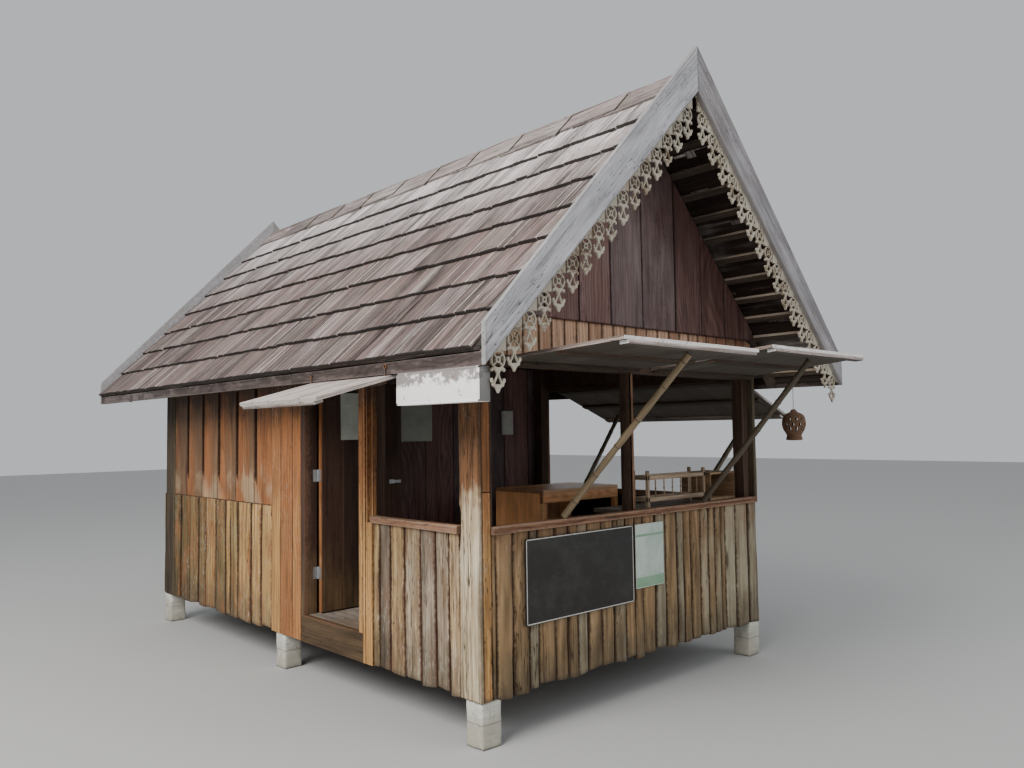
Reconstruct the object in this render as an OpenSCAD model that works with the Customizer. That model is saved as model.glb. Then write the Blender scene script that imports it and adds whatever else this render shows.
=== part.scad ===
// Roadside wooden kiosk on short concrete piers: steep shingled gable roof, carved
// gable valance, boarded walls, top-hung flaps on three sides and one side door.
// Millimetres, +Z up, front gable towards -Y, door side towards -X.

/* [Plan and floor] */
// Width over the outer faces of the side walls
body_w = 2940; // [2600:10:3300]
// Length over the outer faces of the front and back walls
body_l = 4810; // [4600:10:5600]
// Height of the top of the floor deck above the ground
floor_z = 460; // [430:5:600]
// Side of a square concrete pier
pier_side = 150; // [120:5:200]
// Thickness of the deck boards
deck_t = 30; // [22:1:40]
// Depth of the floor joists
joist_h = 60; // [40:5:90]
// Depth of the long bearers that lie on the piers
bearer_h = 104; // [80:4:140]

/* [Walls] */
// Thickness of the lower waney slabs
slab_t = 40; // [30:1:50]
// Thickness of the upper wall planks
plank_t = 28; // [20:1:34]
// Side of a square wall post
post_side = 90; // [70:2:110]
// Height of the top of the window sills above the ground
sill_z = 1250; // [1100:5:1350]
// Thickness of the sill rails
sill_t = 45; // [30:1:60]
// How far a sill rail stands out from the wall
sill_out = 20; // [5:1:40]
// Height of the underside of the head rails above the ground
head_z = 2190; // [2100:5:2240]
// Depth of the head rails over the openings
rail_h = 60; // [40:2:80]
// Height of the top of the wall posts above the ground
post_top_z = 2420; // [2360:5:2460]
// Depth of the wall plates on the posts
plate_h = 140; // [120:2:160]
// Width of the narrow board at the front left corner
corner_board_w = 85; // [60:1:120]
// Width of the wide pale board at the front left corner
waney_w = 150; // [110:1:180]
// Width of the front mullion
mullion_w = 50; // [40:1:80]
// Distance of the front mullion's middle to the left of the ridge line
mullion_off = 85; // [0:5:200]
// Width of the narrow board at the back left corner
back_corner_w = 200; // [120:10:260]

/* [Door and side openings] */
// Distance from the front outer face to the far edge of the side window
window_end_y = 1105; // [1000:5:1130]
// Clear width of the doorway
door_w = 745; // [700:5:760]
// Distance from the front outer face to the doorway
door_y = 1270; // [1255:5:1300]
// Height of the underside of the door head above the ground
door_head_z = 2200; // [2150:5:2230]
// Thickness of the door frame's jambs
jamb_t = 50; // [35:1:60]
// Depth of the door frame
jamb_d = 105; // [95:1:120]
// Thickness of the door leaf's boards
leaf_t = 18; // [14:1:22]
// Thickness of the door leaf's stiles and rails
stile_t = 20; // [16:1:24]
// Width of the door leaf's stiles and rails
stile_w = 90; // [60:2:110]
// Clearance round the door leaf
leaf_gap = 7; // [6:0.5:10]
// Width of the full-height boards beside the doorway
jamb_boards_w = 475; // [300:5:600]
// Distance from the front outer face to the far jamb of the right opening
right_end_y = 2330; // [2200:5:2380]
// Distance from the front outer face to the front of the partition
partition_y = 2445; // [2430:5:2600]

/* [Roof] */
// Slope of the roof in degrees
pitch = 45.75; // [44:0.25:47]
// Depth of the notch where a rafter sits on its wall plate
rafter_notch = 36; // [30:1:60]
// How far the lowest shingles reach beyond the side walls
eave_out = 450; // [430:5:500]
// How far the fascia stands beyond the side walls
fascia_out = 413; // [380:1:415]
// How far the front bargeboard stands before the front wall
gable_out = 544; // [450:2:700]
// How far the back bargeboard stands behind the back wall
gable_back_out = 658; // [450:2:750]
// Number of shingle courses on a slope
courses = 8; // [6:1:10]
// Thickness of a shingle at its lower edge
shingle_t = 18; // [12:1:24]
// Width of a ridge board
cap_w = 270; // [220:5:300]
// Thickness of the lapped ridge boards
cap_t = 36; // [24:1:44]
// Thickness of the roof battens
batten_t = 30; // [22:1:36]
// Width of the roof battens
batten_w = 45; // [35:1:60]
// Number of battens on a slope
battens = 14; // [10:1:16]
// Depth of the rafters
rafter_h = 70; // [60:2:90]
// Width of the rafters
rafter_w = 50; // [40:1:60]
// Thickness of the fascia boards
fascia_t = 25; // [18:1:32]
// Height of a fascia board
fascia_h = 70; // [60:1:76]

/* [Bargeboards and valance] */
// Thickness of a bargeboard
barge_t = 30; // [20:1:40]
// Height of the bargeboard's end at the eave
barge_end_h = 216; // [180:2:260]
// Height of the bargeboards' peak above the ridge
peak_rise = 124; // [110:2:150]
// Height of the vertical joint at the peak
peak_joint_h = 306; // [260:2:340]
// Number of carved pendants on a rake
pendants = 16; // [14:1:20]
// Distance of the pendants' rings below the bargeboard's lower edge
ring_drop = 80; // [70:1:90]
// Thickness of the carved valance
valance_t = 14; // [10:1:18]

/* [Flaps and props] */
// Distance from the left outer face to the left front flap
flap_side_l = 165; // [140:5:200]
// Distance from the right outer face to the right front flap
flap_side_r = 65; // [20:5:100]
// Distance between the two front flaps
flap_between = 160; // [100:5:220]
// Length of a front flap from its hinge edge
front_flap_l = 950; // [800:5:1000]
// Rise of the left front flap in degrees
flap_rise_a = 2.7; // [0:0.1:6]
// Rise of the right front flap in degrees
flap_rise_b = 5; // [0:0.1:8]
// Thickness of a flap's boards
flap_t = 22; // [16:1:28]
// Thickness of a flap's ledges
flap_ledge_t = 22; // [16:1:28]
// Width of a flap's ledges
flap_ledge_w = 60; // [40:2:90]
// Length of the left flap from its hinge edge
left_flap_l = 910; // [800:5:980]
// How far the left flap's fall takes it below the fascia
hook_gap = 10; // [8:1:30]
// Length of the right flap from its hinge edge
right_flap_l = 822; // [700:2:900]
// Fall of the right flap in degrees
right_flap_fall = 21.4; // [18:0.1:26]
// Diameter of a bamboo prop
bamboo_d = 46; // [36:1:52]
// Spacing of the joints along a bamboo prop
bamboo_joint = 230; // [150:10:320]

/* [Signs and fittings] */
// Length of the sign box under the left fascia
sign_l = 715; // [500:5:900]
// Height of the sign box
sign_h = 180; // [120:5:220]
// Depth of the sign box
sign_d = 75; // [50:5:100]
// Distance from the left outer face to the menu board
menu_x = 345; // [200:5:450]
// Height of the underside of the menu board above the ground
menu_z = 645; // [500:5:680]
// Width of the menu board
menu_w = 1000; // [800:10:1100]
// Height of the menu board
menu_h = 510; // [400:10:540]
// Width of the poster board
poster_w = 305; // [200:5:420]
// Height of the poster board
poster_h = 431; // [300:1:450]
// Diameter of the hanging lantern
lantern_d = 196; // [160:2:220]

/* [Hidden] */
// Clearance where pieces seat on each other
seat = 0.3;
// Slope of the roof: cosine, sine and tangent
cp = cos(pitch);
sp = sin(pitch);
tp = tan(pitch);
// Levels of the floor and the walls
deck_under_z = floor_z - deck_t;
joist_under_z = deck_under_z - joist_h;
bearer_under_z = joist_under_z - bearer_h;
skirt_z = bearer_under_z;
sill_under_z = sill_z - sill_t;
slab_top_z = sill_z - 15;
wall_top_z = post_top_z + 50;
plate_top_z = post_top_z + plate_h;
// Inner faces of the outer boards
in_x0 = slab_t;
in_x1 = body_w - slab_t;
in_y0 = slab_t;
in_y1 = body_l - slab_t;
mid_x = body_w / 2;
// Roof geometry: u runs down the slope from the ridge, w stands off it
u_eave = (mid_x + eave_out) / cp;
cover_t = 2.5 * shingle_t;
batten_under = cover_t + batten_t;
rafter_under = batten_under + rafter_h;
ridge_z = plate_top_z - rafter_notch + rafter_under / cp + (mid_x - in_x0) * tp;
peak_z = ridge_z + peak_rise;
cover_y0 = -gable_out + barge_t;
cover_y1 = body_l + gable_back_out - barge_t;
exposure = (u_eave - cap_w) / courses;
function roof_z(x, w) = ridge_z - w / cp - abs(x - mid_x) * tp;
fascia_top_z = roof_z(-fascia_out, cover_t) - 2;
fascia_z = fascia_top_z - fascia_h;
// Wall board places
mullion_x = mid_x - mullion_off - mullion_w / 2;
back_corner_y = in_y1 - back_corner_w;
// Door places
door_end_y = door_y + door_w;
frame_y0 = door_y - jamb_t;
frame_y1 = door_end_y + jamb_t;
jamb_end_y = frame_y1 + jamb_boards_w;
mid_post_y = (frame_y1 + in_y1 - post_side) / 2;
leaf_z0 = floor_z + leaf_gap + 4;
leaf_z1 = door_head_z - leaf_gap;
// Butt hinges: barrel radius, pin radius, plate size and the reach of a plate from the pin
knuckle_r = 7;
hinge_pin_r = 3.5;
plate_t = 2;
plate_reach = 40;
hinge_h = 90;
hinge_zs = [715, 1440];
latch_z = 1410;
pin_x = jamb_d + knuckle_r + 1;
pin_y = door_end_y - 5;
leaf_edge = plate_t + 0.5;
leaf_w = door_w - (door_end_y - pin_y) - leaf_edge - leaf_gap;
leaf_y1 = pin_y - knuckle_r - 1;
// Flap places
flap_total_t = flap_t + flap_ledge_t;
flap_hinge_z = head_z + 45;
front_flap_w = (body_w - flap_side_l - flap_side_r - flap_between) / 2;
flap_a_x = flap_side_l;
flap_b_x = flap_a_x + front_flap_w + flap_between;
left_flap_y = [in_y0 + waney_w + 90, window_end_y + 85];
right_flap_y = [in_y0 + post_side + 20, right_end_y - 80];
left_hinge_z = door_head_z + 33;
left_flap_fall = atan((left_hinge_z - fascia_z + hook_gap) / fascia_out);
right_hinge_z = head_z + 25;
sill_mid_y = (slab_t - sill_out) / 2;
front_prop_l = 800;
right_prop_l = 690;
function fall_gap(fall) = seat + flap_total_t * sin(fall);
function reach_up(rise) = seat + front_flap_l * cos(rise) + flap_total_t * sin(rise);
// Points under the flaps' boards where the props' heads rest
function front_under(x, rise) = [
    x, -seat - front_prop_l * cos(rise) - flap_t * sin(rise),
    flap_hinge_z + front_prop_l * sin(rise) - flap_t * cos(rise)
];
function right_under(y) = [
    body_w + fall_gap(right_flap_fall) + right_prop_l * cos(right_flap_fall)
        - flap_t * sin(right_flap_fall),
    y,
    right_hinge_z - right_prop_l * sin(right_flap_fall) - flap_t * cos(right_flap_fall)
];
// Gable boards
gable_t = slab_t * 0.55;
band_top_z = head_z + rail_h + 275;
// Furniture behind the openings
counter_x = in_x1 - post_side - 960;
counter_d = 600;
counter_y = partition_y - 495 - counter_d;
counter_z = sill_z + 50;
shelf_z = sill_z - 10;
shelf_t = 28;
shelf_d = 360;
rack_x = mullion_x + 250;
rack_w = 700;
rack_y = in_y0 + 20;
rack_d = 150;
rack_h = 265;
box_x = in_x1 - post_side - 350;
box_h = 215;
// Overall box, which sets the origin
x_low = -fall_gap(left_flap_fall) - left_flap_l * cos(left_flap_fall);
x_high = body_w + fall_gap(right_flap_fall) + right_flap_l * cos(right_flap_fall);
y_low = -max(reach_up(flap_rise_a), reach_up(flap_rise_b));
y_high = body_l + gable_back_out;
origin = [(x_low + x_high) / 2, (y_low + y_high) / 2, 0];

// A box from its lowest corner to its highest corner
module block(a, b) {
    translate(a) cube(b - a);
}

// Puts the building's own frame, zero at the front left corner, on the origin
module placed() {
    translate(-origin) children();
}

// The frame of the right roof slope: x runs down the slope, z stands off it
module right_slope() {
    translate([mid_x, 0, ridge_z]) rotate([0, pitch, 0]) children();
}

module left_slope() {
    translate([mid_x, 0, 0]) mirror([1, 0, 0]) translate([-mid_x, 0, 0]) right_slope() children();
}

// An outline in the x-z plane made solid from y = y0 to y = y1
module along_y(y0, y1) {
    translate([0, y1, 0]) rotate([90, 0, 0]) linear_extrude(height = y1 - y0) children();
}

module piers() {
    color([0.79, 0.77, 0.73]) placed()
        for (x = [10, body_w - 10 - pier_side])
            for (y = [10, (body_l - pier_side) / 2, body_l - 10 - pier_side])
                block([x, y, 0], [x + pier_side, y + pier_side, bearer_under_z]);
}

module floor_bearers() {
    color([0.30, 0.23, 0.18]) placed()
        for (x = [in_x0, in_x1 - post_side])
            block([x, in_y0, bearer_under_z], [x + post_side, in_y1, joist_under_z]);
}

module floor_joists() {
    width = 60;
    color([0.30, 0.23, 0.18]) placed()
        for (i = [0:6]) {
            y = in_y0 + i * (in_y1 - in_y0 - width) / 6;
            block([in_x0, y, joist_under_z], [in_x1, y + width, deck_under_z]);
        }
}

module floor_deck() {
    color([0.42, 0.31, 0.22]) placed()
        block([in_x0, in_y0, deck_under_z], [in_x1, in_y1, floor_z]);
}

// One wall post on the deck, from its lowest corner
module post(x, y) {
    block([x, y, floor_z], [x + post_side, y + post_side, post_top_z]);
}

module wall_posts() {
    color([0.22, 0.15, 0.12]) placed() {
        for (x = [in_x0, in_x1 - post_side]) {
            post(x, in_y0);
            post(x, mid_post_y);
            post(x, in_y1 - post_side);
        }
        post(in_x0, frame_y0 - post_side);
        post(in_x0, frame_y1);
        post(in_x1 - post_side, right_end_y);
        post(mid_x - post_side / 2, in_y1 - post_side);
    }
}

module wall_plates() {
    color([0.25, 0.17, 0.13]) placed() {
        for (x = [in_x0, in_x1 - post_side])
            block([x, in_y0, post_top_z], [x + post_side, in_y1, plate_top_z]);
        for (y = [in_y0, in_y1 - post_side])
            block([in_x0 + post_side, y, post_top_z],
                  [in_x1 - post_side, y + post_side, plate_top_z - 30]);
    }
}

module front_low_wall() {
    color([0.55, 0.44, 0.31]) placed()
        block([corner_board_w, 0, skirt_z], [body_w, in_y0, sill_under_z]);
}

module left_low_wall() {
    color([0.64, 0.55, 0.42]) placed()
        block([0, in_y0 + waney_w, skirt_z], [in_x0, window_end_y, sill_under_z]);
}

module left_slab_wall() {
    color([0.66, 0.52, 0.33]) placed()
        block([0, jamb_end_y, skirt_z], [in_x0, back_corner_y, slab_top_z]);
}

module right_slab_wall() {
    color([0.52, 0.45, 0.36]) placed() {
        block([in_x1, in_y0, skirt_z], [body_w, right_end_y, sill_under_z]);
        block([in_x1, right_end_y, skirt_z], [body_w, in_y1, slab_top_z]);
    }
}

module back_slab_wall() {
    color([0.52, 0.45, 0.36]) placed()
        block([0, in_y1, skirt_z], [body_w, body_l, slab_top_z]);
}

module left_plank_wall() {
    color([0.60, 0.34, 0.19]) placed()
        block([in_x0 - plank_t, jamb_end_y, slab_top_z], [in_x0, back_corner_y, wall_top_z]);
}

module left_jamb_boards() {
    color([0.62, 0.36, 0.20]) placed()
        block([0, frame_y1, skirt_z], [in_x0, jamb_end_y, wall_top_z]);
}

module right_plank_wall() {
    color([0.45, 0.30, 0.20]) placed()
        block([in_x1, right_end_y, slab_top_z], [in_x1 + plank_t, in_y1, wall_top_z]);
}

module back_plank_wall() {
    color([0.45, 0.30, 0.20]) placed()
        block([in_x0, in_y1, slab_top_z], [in_x1, in_y1 + plank_t, wall_top_z]);
}

module left_head_boards() {
    color([0.30, 0.19, 0.13]) placed() {
        block([in_x0 - plank_t, in_y0 + waney_w, door_head_z + rail_h],
              [in_x0, window_end_y, wall_top_z]);
        block([in_x0 - plank_t, frame_y0, door_head_z + jamb_t], [in_x0, frame_y1, wall_top_z]);
    }
}

module right_head_boards() {
    color([0.30, 0.19, 0.13]) placed()
        block([in_x1, in_y0, head_z + rail_h], [in_x1 + plank_t, right_end_y, wall_top_z]);
}

module corner_boards() {
    color([0.55, 0.36, 0.22]) placed() {
        block([0, 0, skirt_z], [corner_board_w, in_y0, head_z + rail_h]);
        block([0, back_corner_y, skirt_z], [in_x0, in_y1, wall_top_z]);
        block([in_x1, 0, sill_under_z], [body_w, in_y0 + post_side, head_z + rail_h]);
    }
}

module waney_board() {
    color([0.78, 0.72, 0.60]) placed()
        block([0, in_y0, skirt_z], [in_x0, in_y0 + waney_w, wall_top_z]);
}

module door_pier_board() {
    color([0.62, 0.45, 0.28]) placed()
        block([0, window_end_y, skirt_z], [in_x0, frame_y0, wall_top_z]);
}

module sills() {
    color([0.54, 0.35, 0.26]) placed() {
        block([corner_board_w, -sill_out, sill_under_z], [in_x1, in_y0, sill_z]);
        block([-sill_out, in_y0 + waney_w, sill_under_z], [in_x0, window_end_y, sill_z]);
        block([in_x1, in_y0 + post_side, sill_under_z], [body_w + sill_out, right_end_y, sill_z]);
    }
}

module head_rails() {
    color([0.26, 0.16, 0.12]) placed() {
        block([corner_board_w, 0, head_z], [in_x1, in_y0, head_z + rail_h]);
        block([0, in_y0 + waney_w, door_head_z], [in_x0, window_end_y, door_head_z + rail_h]);
        block([in_x1, in_y0 + post_side, head_z], [body_w, right_end_y, head_z + rail_h]);
        block([in_x0 + post_side, in_y0, head_z], [in_x1 - post_side, in_y0 + post_side,
              post_top_z]);
    }
}

module front_mullion() {
    stick = 30;
    color([0.20, 0.13, 0.10]) placed() {
        block([mullion_x, in_y0, floor_z], [mullion_x + mullion_w, in_y0 + post_side, head_z]);
        block([mullion_x + mullion_w + seat, in_y0, sill_z],
              [mullion_x + mullion_w + stick, in_y0 + 35, head_z]);
    }
}

module door_frame() {
    color([0.36, 0.22, 0.15]) placed() {
        block([0, frame_y0, floor_z], [jamb_d, door_y, door_head_z]);
        block([0, door_end_y, floor_z], [jamb_d, frame_y1, door_head_z]);
        block([0, frame_y0, door_head_z], [jamb_d, frame_y1, door_head_z + jamb_t]);
        block([0, frame_y0, skirt_z], [in_x0, frame_y1, floor_z]);
    }
}

// The leaf stands open into the room, at right angles to the wall: boards on stiles and rails
module door_leaf() {
    x0 = pin_x + leaf_edge;
    x1 = x0 + leaf_w;
    frame_y = leaf_y1 - stile_t;
    color([0.20, 0.13, 0.11]) placed() {
        block([x0, frame_y - leaf_t, leaf_z0], [x1, frame_y, leaf_z1]);
        for (x = [x0, x1 - stile_w])
            block([x, frame_y, leaf_z0], [x + stile_w, leaf_y1, leaf_z1]);
        for (z = [leaf_z0, (leaf_z0 + leaf_z1 - stile_w) / 2, leaf_z1 - stile_w])
            block([x0, frame_y, z], [x1, leaf_y1, z + stile_w]);
    }
}

// On the jambs: hinge plates with their end knuckles and pins, and the keep for the hasp
module jamb_fittings() {
    third = hinge_h / 3;
    color([0.75, 0.76, 0.77]) placed() translate([0, door_y, latch_z]) {
        block([15, 0, -22], [59, 3, 22]);
        for (h = [-12, 8]) block([31, 2, h], [37, 15, h + 4]);
        block([31, 12, -12], [37, 16, 12]);
    }
    color([0.75, 0.76, 0.77]) placed()
        for (z = hinge_zs) translate([pin_x, pin_y, z]) {
            cylinder(r = hinge_pin_r, h = hinge_h, $fn = 32);
            block([-plate_reach, 5 - plate_t, 0], [-knuckle_r - 0.5, 5, hinge_h]);
            for (h = [0, 2 * third]) {
                translate([0, 0, h]) cylinder(r = knuckle_r, h = third, $fn = 32);
                block([-knuckle_r - 1, 5 - plate_t, h], [-3, 5, h + third]);
            }
        }
}

// On the leaf: hinge plates on its edge with the middle knuckles, and the hasp near its free edge
module leaf_fittings() {
    third = hinge_h / 3;
    play = 0.5;
    face_y = leaf_y1 - stile_t - leaf_t;
    hasp_x = pin_x + leaf_edge + leaf_w - 12;
    color([0.75, 0.76, 0.77]) placed() translate([hasp_x, face_y, latch_z]) {
        block([-110, -3, -16], [-70, 0, 16]);
        translate([-70, -5, -16]) cylinder(r = 5, h = 32, $fn = 24);
        block([-70, -7, -12], [0, -3.5, 12]);
    }
    color([0.75, 0.76, 0.77]) placed()
        for (z = hinge_zs) translate([pin_x, pin_y, z]) difference() {
            union() {
                block([leaf_edge - plate_t, -plate_reach, 0], [leaf_edge, -knuckle_r - play,
                      hinge_h]);
                block([leaf_edge - plate_t, -knuckle_r - 1, third + play], [leaf_edge, -4,
                      2 * third - play]);
                translate([0, 0, third + play])
                    cylinder(r = knuckle_r, h = third - 2 * play, $fn = 32);
            }
            translate([0, 0, -1]) cylinder(r = hinge_pin_r + 0.05, h = hinge_h + 2, $fn = 32);
        }
}

module partition() {
    color([0.17, 0.12, 0.11]) placed()
        block([in_x0, partition_y, floor_z], [in_x1, partition_y + plank_t, post_top_z]);
}

// Gable outline from a level line up to the rafters' top line
module gable_outline(z0) {
    edge_z = roof_z(0, batten_under);
    polygon([[0, z0], [body_w, z0], [body_w, edge_z], [mid_x, roof_z(mid_x, batten_under)],
             [0, edge_z]]);
}

module gable_planks_front() {
    color([0.27, 0.16, 0.14]) placed()
        along_y(0, gable_t) gable_outline(band_top_z - 20);
}

// Boards between the head rail and the lap of the gable planks, cut to the rafters
module gable_band() {
    edge_z = roof_z(0, rafter_under + 0.1);
    inset = (band_top_z - edge_z) / tp;
    color([0.54, 0.37, 0.27]) placed() along_y(gable_t, in_y0)
        polygon([[0, head_z + rail_h], [body_w, head_z + rail_h], [body_w, edge_z],
                 [body_w - inset, band_top_z], [inset, band_top_z], [0, edge_z]]);
}

module gable_planks_back() {
    color([0.33, 0.22, 0.17]) placed()
        along_y(body_l - gable_t, body_l) gable_outline(wall_top_z);
}

// One rafter of the right slope, cut plumb at the ridge and the fascia and level below it
module rafter(y) {
    tail_x = body_w + fascia_out - fascia_t;
    difference() {
        intersection() {
            right_slope() block([-200, y, -rafter_under], [u_eave, y + rafter_w, -batten_under]);
            block([mid_x, y, fascia_z], [tail_x, y + rafter_w, ridge_z]);
        }
        block([in_x1 - post_side, y - 1, post_top_z], [in_x1, y + rafter_w + 1, plate_top_z]);
    }
}

module rafters() {
    color([0.30, 0.24, 0.19]) placed()
        for (i = [0:4]) {
            y = gable_t + i * (body_l - 2 * gable_t - rafter_w) / 4;
            rafter(y);
            translate([mid_x, 0, 0]) mirror([1, 0, 0]) translate([-mid_x, 0, 0]) rafter(y);
        }
}

module slope_battens() {
    first = batten_under * tp + 6;
    last = u_eave - 110;
    for (i = [0:battens - 1]) {
        u = first + i * (last - first) / (battens - 1);
        block([u, cover_y0, -batten_under], [u + batten_w, cover_y1, -cover_t]);
    }
}

module battens_left() {
    color([0.42, 0.36, 0.30]) placed() left_slope() slope_battens();
}

module battens_right() {
    color([0.42, 0.36, 0.30]) placed() right_slope() slope_battens();
}

// Saw-tooth outline of the shingle courses in the slope's u-w plane
module course_outline() {
    steps = [for (i = [0:courses - 1]) each [
        [u_eave - i * exposure, i == 0 ? -cover_t : -shingle_t],
        [u_eave - i * exposure, 0]
    ]];
    polygon(concat([[cover_t * tp, -cover_t]], steps,
                   [[cap_w, -shingle_t], [shingle_t * tp, -shingle_t]]));
}

module slope_cover() {
    along_y(cover_y0 + 8, cover_y1 - 8) course_outline();
}

module shingles_left() {
    color([0.46, 0.39, 0.35]) placed() left_slope() slope_cover();
}

module shingles_right() {
    color([0.46, 0.39, 0.35]) placed() right_slope() slope_cover();
}

// A point of the roof's section: u down the slope from the ridge, w off the shingle face
function slope_pt(u, w) = [u * cp + w * sp, -u * sp + w * cp];

// Ridge boards: two sloping boards that meet over the ridge
module cap_outline() {
    low = seat - shingle_t;
    top = low + cap_t;
    edge = [slope_pt(cap_w, top), slope_pt(cap_w, low)];
    polygon([[0, top / cp], edge[0], edge[1], [0, low / cp], [-edge[1][0], edge[1][1]],
             [-edge[0][0], edge[0][1]]]);
}

module ridge_cap() {
    color([0.44, 0.38, 0.35]) placed()
        translate([mid_x, 0, ridge_z]) along_y(cover_y0 + 8, cover_y1 - 8) cap_outline();
}

module fascias() {
    color([0.29, 0.23, 0.21]) placed()
        for (x = [-fascia_out, body_w + fascia_out - fascia_t])
            block([x, cover_y0, fascia_z], [x + fascia_t, cover_y1, fascia_top_z]);
}

module barge_outline() {
    polygon([[-fascia_out, fascia_z], [-fascia_out, fascia_z + barge_end_h], [mid_x, peak_z],
             [mid_x, peak_z - peak_joint_h]]);
}

module barge_pair(y0) {
    along_y(y0, y0 + barge_t) barge_outline();
    translate([body_w, 0, 0]) mirror([1, 0, 0]) along_y(y0, y0 + barge_t) barge_outline();
}

module bargeboards_front() {
    color([0.56, 0.56, 0.56]) placed() barge_pair(-gable_out);
}

module bargeboards_back() {
    color([0.56, 0.56, 0.56]) placed() barge_pair(body_l + gable_back_out - barge_t);
}

// Height of the left bargeboard's lower edge
function barge_low(x) =
    fascia_z + (x + fascia_out) * (peak_z - peak_joint_h - fascia_z) / (mid_x + fascia_out);
pendant_pitch = (mid_x + fascia_out) / (pendants + 0.75);
unit = pendant_pitch / 112.5;

// Right half of a pendant's outline from its pointed top to its tip; zero is its ring's centre
pendant_side = [
    [12, 43], [28, 36], [42, 24], [50, 8], [53, -8], [50, -24], [41, -38], [33, -44],
    [40, -47], [46, -53], [42, -62], [32, -63], [24, -57], [14, -56], [8, -64], [7, -74],
    [14, -84], [26, -92], [33, -93], [36, -86], [42, -84], [45, -92], [41, -102], [44, -112],
    [52, -122], [40, -124], [30, -128], [22, -134], [20, -140], [14, -146], [8, -158]
];

// A flat outline through the valance board, and past both of its faces where it is a hole
module sawn(points, past = 0) {
    translate([0, 0, -past]) linear_extrude(height = valance_t + 2 * past)
        polygon(unit * points);
}

module round_cut(r, past, sides) {
    translate([0, 0, -past]) cylinder(r = r * unit, h = valance_t + 2 * past, $fn = sides);
}

// A straight link of the given width from the ring's centre outwards
module link(angle, width) {
    rotate(angle) translate([-width * unit / 2, 0, -2])
        cube([width * unit, 50 * unit, valance_t + 4]);
}

// One carved pendant: a ring held in a loop, two pairs of curls, a pierced drop
module pendant() {
    sides = len(pendant_side);
    other_side = [for (i = [1:sides]) [-pendant_side[sides - i][0], pendant_side[sides - i][1]]];
    difference() {
        sawn(concat([[0, 50]], pendant_side, [[0, -170]], other_side));
        difference() {
            translate([0, -2 * unit, 0]) round_cut(41, 1, 40);
            translate([-60 * unit, -100 * unit, -2]) cube([120 * unit, 66 * unit, valance_t + 4]);
            round_cut(21, 2, 32);
            for (a = [-135, -45, 45, 135]) link(a, 7);
            link(180, 8);
        }
        round_cut(11, 1, 32);
        sawn([[0, -37], [8, -44], [0, -52], [-8, -44]], 1);
        sawn([[0, -82], [13, -112], [9, -121], [0, -117], [-9, -121], [-13, -112]], 1);
    }
}

// The filler above a pendant, up to the strip behind the bargeboard
module filler(x) {
    x0 = x - 6 * unit;
    x1 = x + 54 * unit;
    z0 = barge_low(x) - ring_drop + 46 * unit;
    linear_extrude(height = valance_t)
        polygon([[x0, z0], [x1, z0], [x1, barge_low(x1) + 8], [x0, barge_low(x0) + 8]]);
}

module valance_strip() {
    x0 = -fascia_out + fascia_t + 2;
    linear_extrude(height = valance_t)
        polygon([[x0, barge_low(x0) - 2], [x0, barge_low(x0) + 20],
                 [mid_x, barge_low(mid_x) + 20], [mid_x, barge_low(mid_x) - 2]]);
}

module valance_half() {
    translate([0, -gable_out + barge_t + seat + valance_t, 0]) rotate([90, 0, 0]) {
        valance_strip();
        for (i = [1:pendants]) {
            x = -fascia_out + i * pendant_pitch;
            filler(x);
            translate([x, barge_low(x) - ring_drop, 0]) pendant();
        }
    }
}

module valance_left() {
    color([0.71, 0.67, 0.61]) placed() valance_half();
}

module valance_right() {
    color([0.71, 0.67, 0.61]) placed()
        translate([body_w, 0, 0]) mirror([1, 0, 0]) valance_half();
}

// A flap that lies along +x from its hinge edge, its top at z = 0
module flap_panel(length, width, ledges = 3) {
    block([0, 0, -flap_t], [length, width, 0]);
    for (i = [0:ledges - 1]) {
        x = i * (length - flap_ledge_w) / (ledges - 1);
        block([x, 0, -flap_total_t], [x + flap_ledge_w, width, -flap_t]);
    }
}

// The frame of a front flap, x out from its hinge edge; the given x is its left edge
module front_flap_frame(x, rise) {
    translate([x, -seat, flap_hinge_z]) rotate([0, 0, -90])
        rotate([0, -rise, 0]) children();
}

module right_flap_frame() {
    translate([body_w + fall_gap(right_flap_fall), right_flap_y[0], right_hinge_z])
        rotate([0, right_flap_fall, 0]) children();
}

module flap_front_left() {
    color([0.60, 0.57, 0.53]) placed()
        front_flap_frame(flap_a_x, flap_rise_a) flap_panel(front_flap_l, front_flap_w);
}

module flap_front_right() {
    color([0.60, 0.57, 0.53]) placed()
        front_flap_frame(flap_b_x, flap_rise_b) flap_panel(front_flap_l, front_flap_w);
}

module flap_left() {
    color([0.70, 0.65, 0.61]) placed()
        translate([-fall_gap(left_flap_fall), left_flap_y[1], left_hinge_z]) rotate([0, 0, 180])
            rotate([0, left_flap_fall, 0])
                flap_panel(left_flap_l, left_flap_y[1] - left_flap_y[0]);
}

module flap_right() {
    color([0.48, 0.45, 0.40]) placed()
        right_flap_frame() flap_panel(right_flap_l, right_flap_y[1] - right_flap_y[0]);
}

// Half outline of a bamboo pole that swells at its joints
module bamboo_profile(length) {
    r = bamboo_d / 2;
    joints = [for (h = [bamboo_joint / 2:bamboo_joint:length - 40]) each [
        [r, h - 9], [r + 3, h - 3], [r + 3, h + 3], [r, h + 9]
    ]];
    polygon(concat([[0, 0], [r, 0]], joints, [[r, length], [0, length]]));
}

// How far a square-cut pole end stays back along the pole from a plane it leans on
function end_gap(u, n) = (bamboo_d / 2 * sqrt(1 - pow(u * n, 2)) + seat) / (u * n);

// A bamboo pole from a foot on the sill to a head under a flap, n the flap's upward normal
module prop(foot, head, n) {
    u = (head - foot) / norm(head - foot);
    a = foot + u * end_gap(u, [0, 0, 1]);
    b = head - u * end_gap(u, n);
    translate(a) rotate([0, acos(u[2]), atan2(u[1], u[0])])
        rotate_extrude($fn = 32) bamboo_profile(norm(b - a));
}

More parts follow.
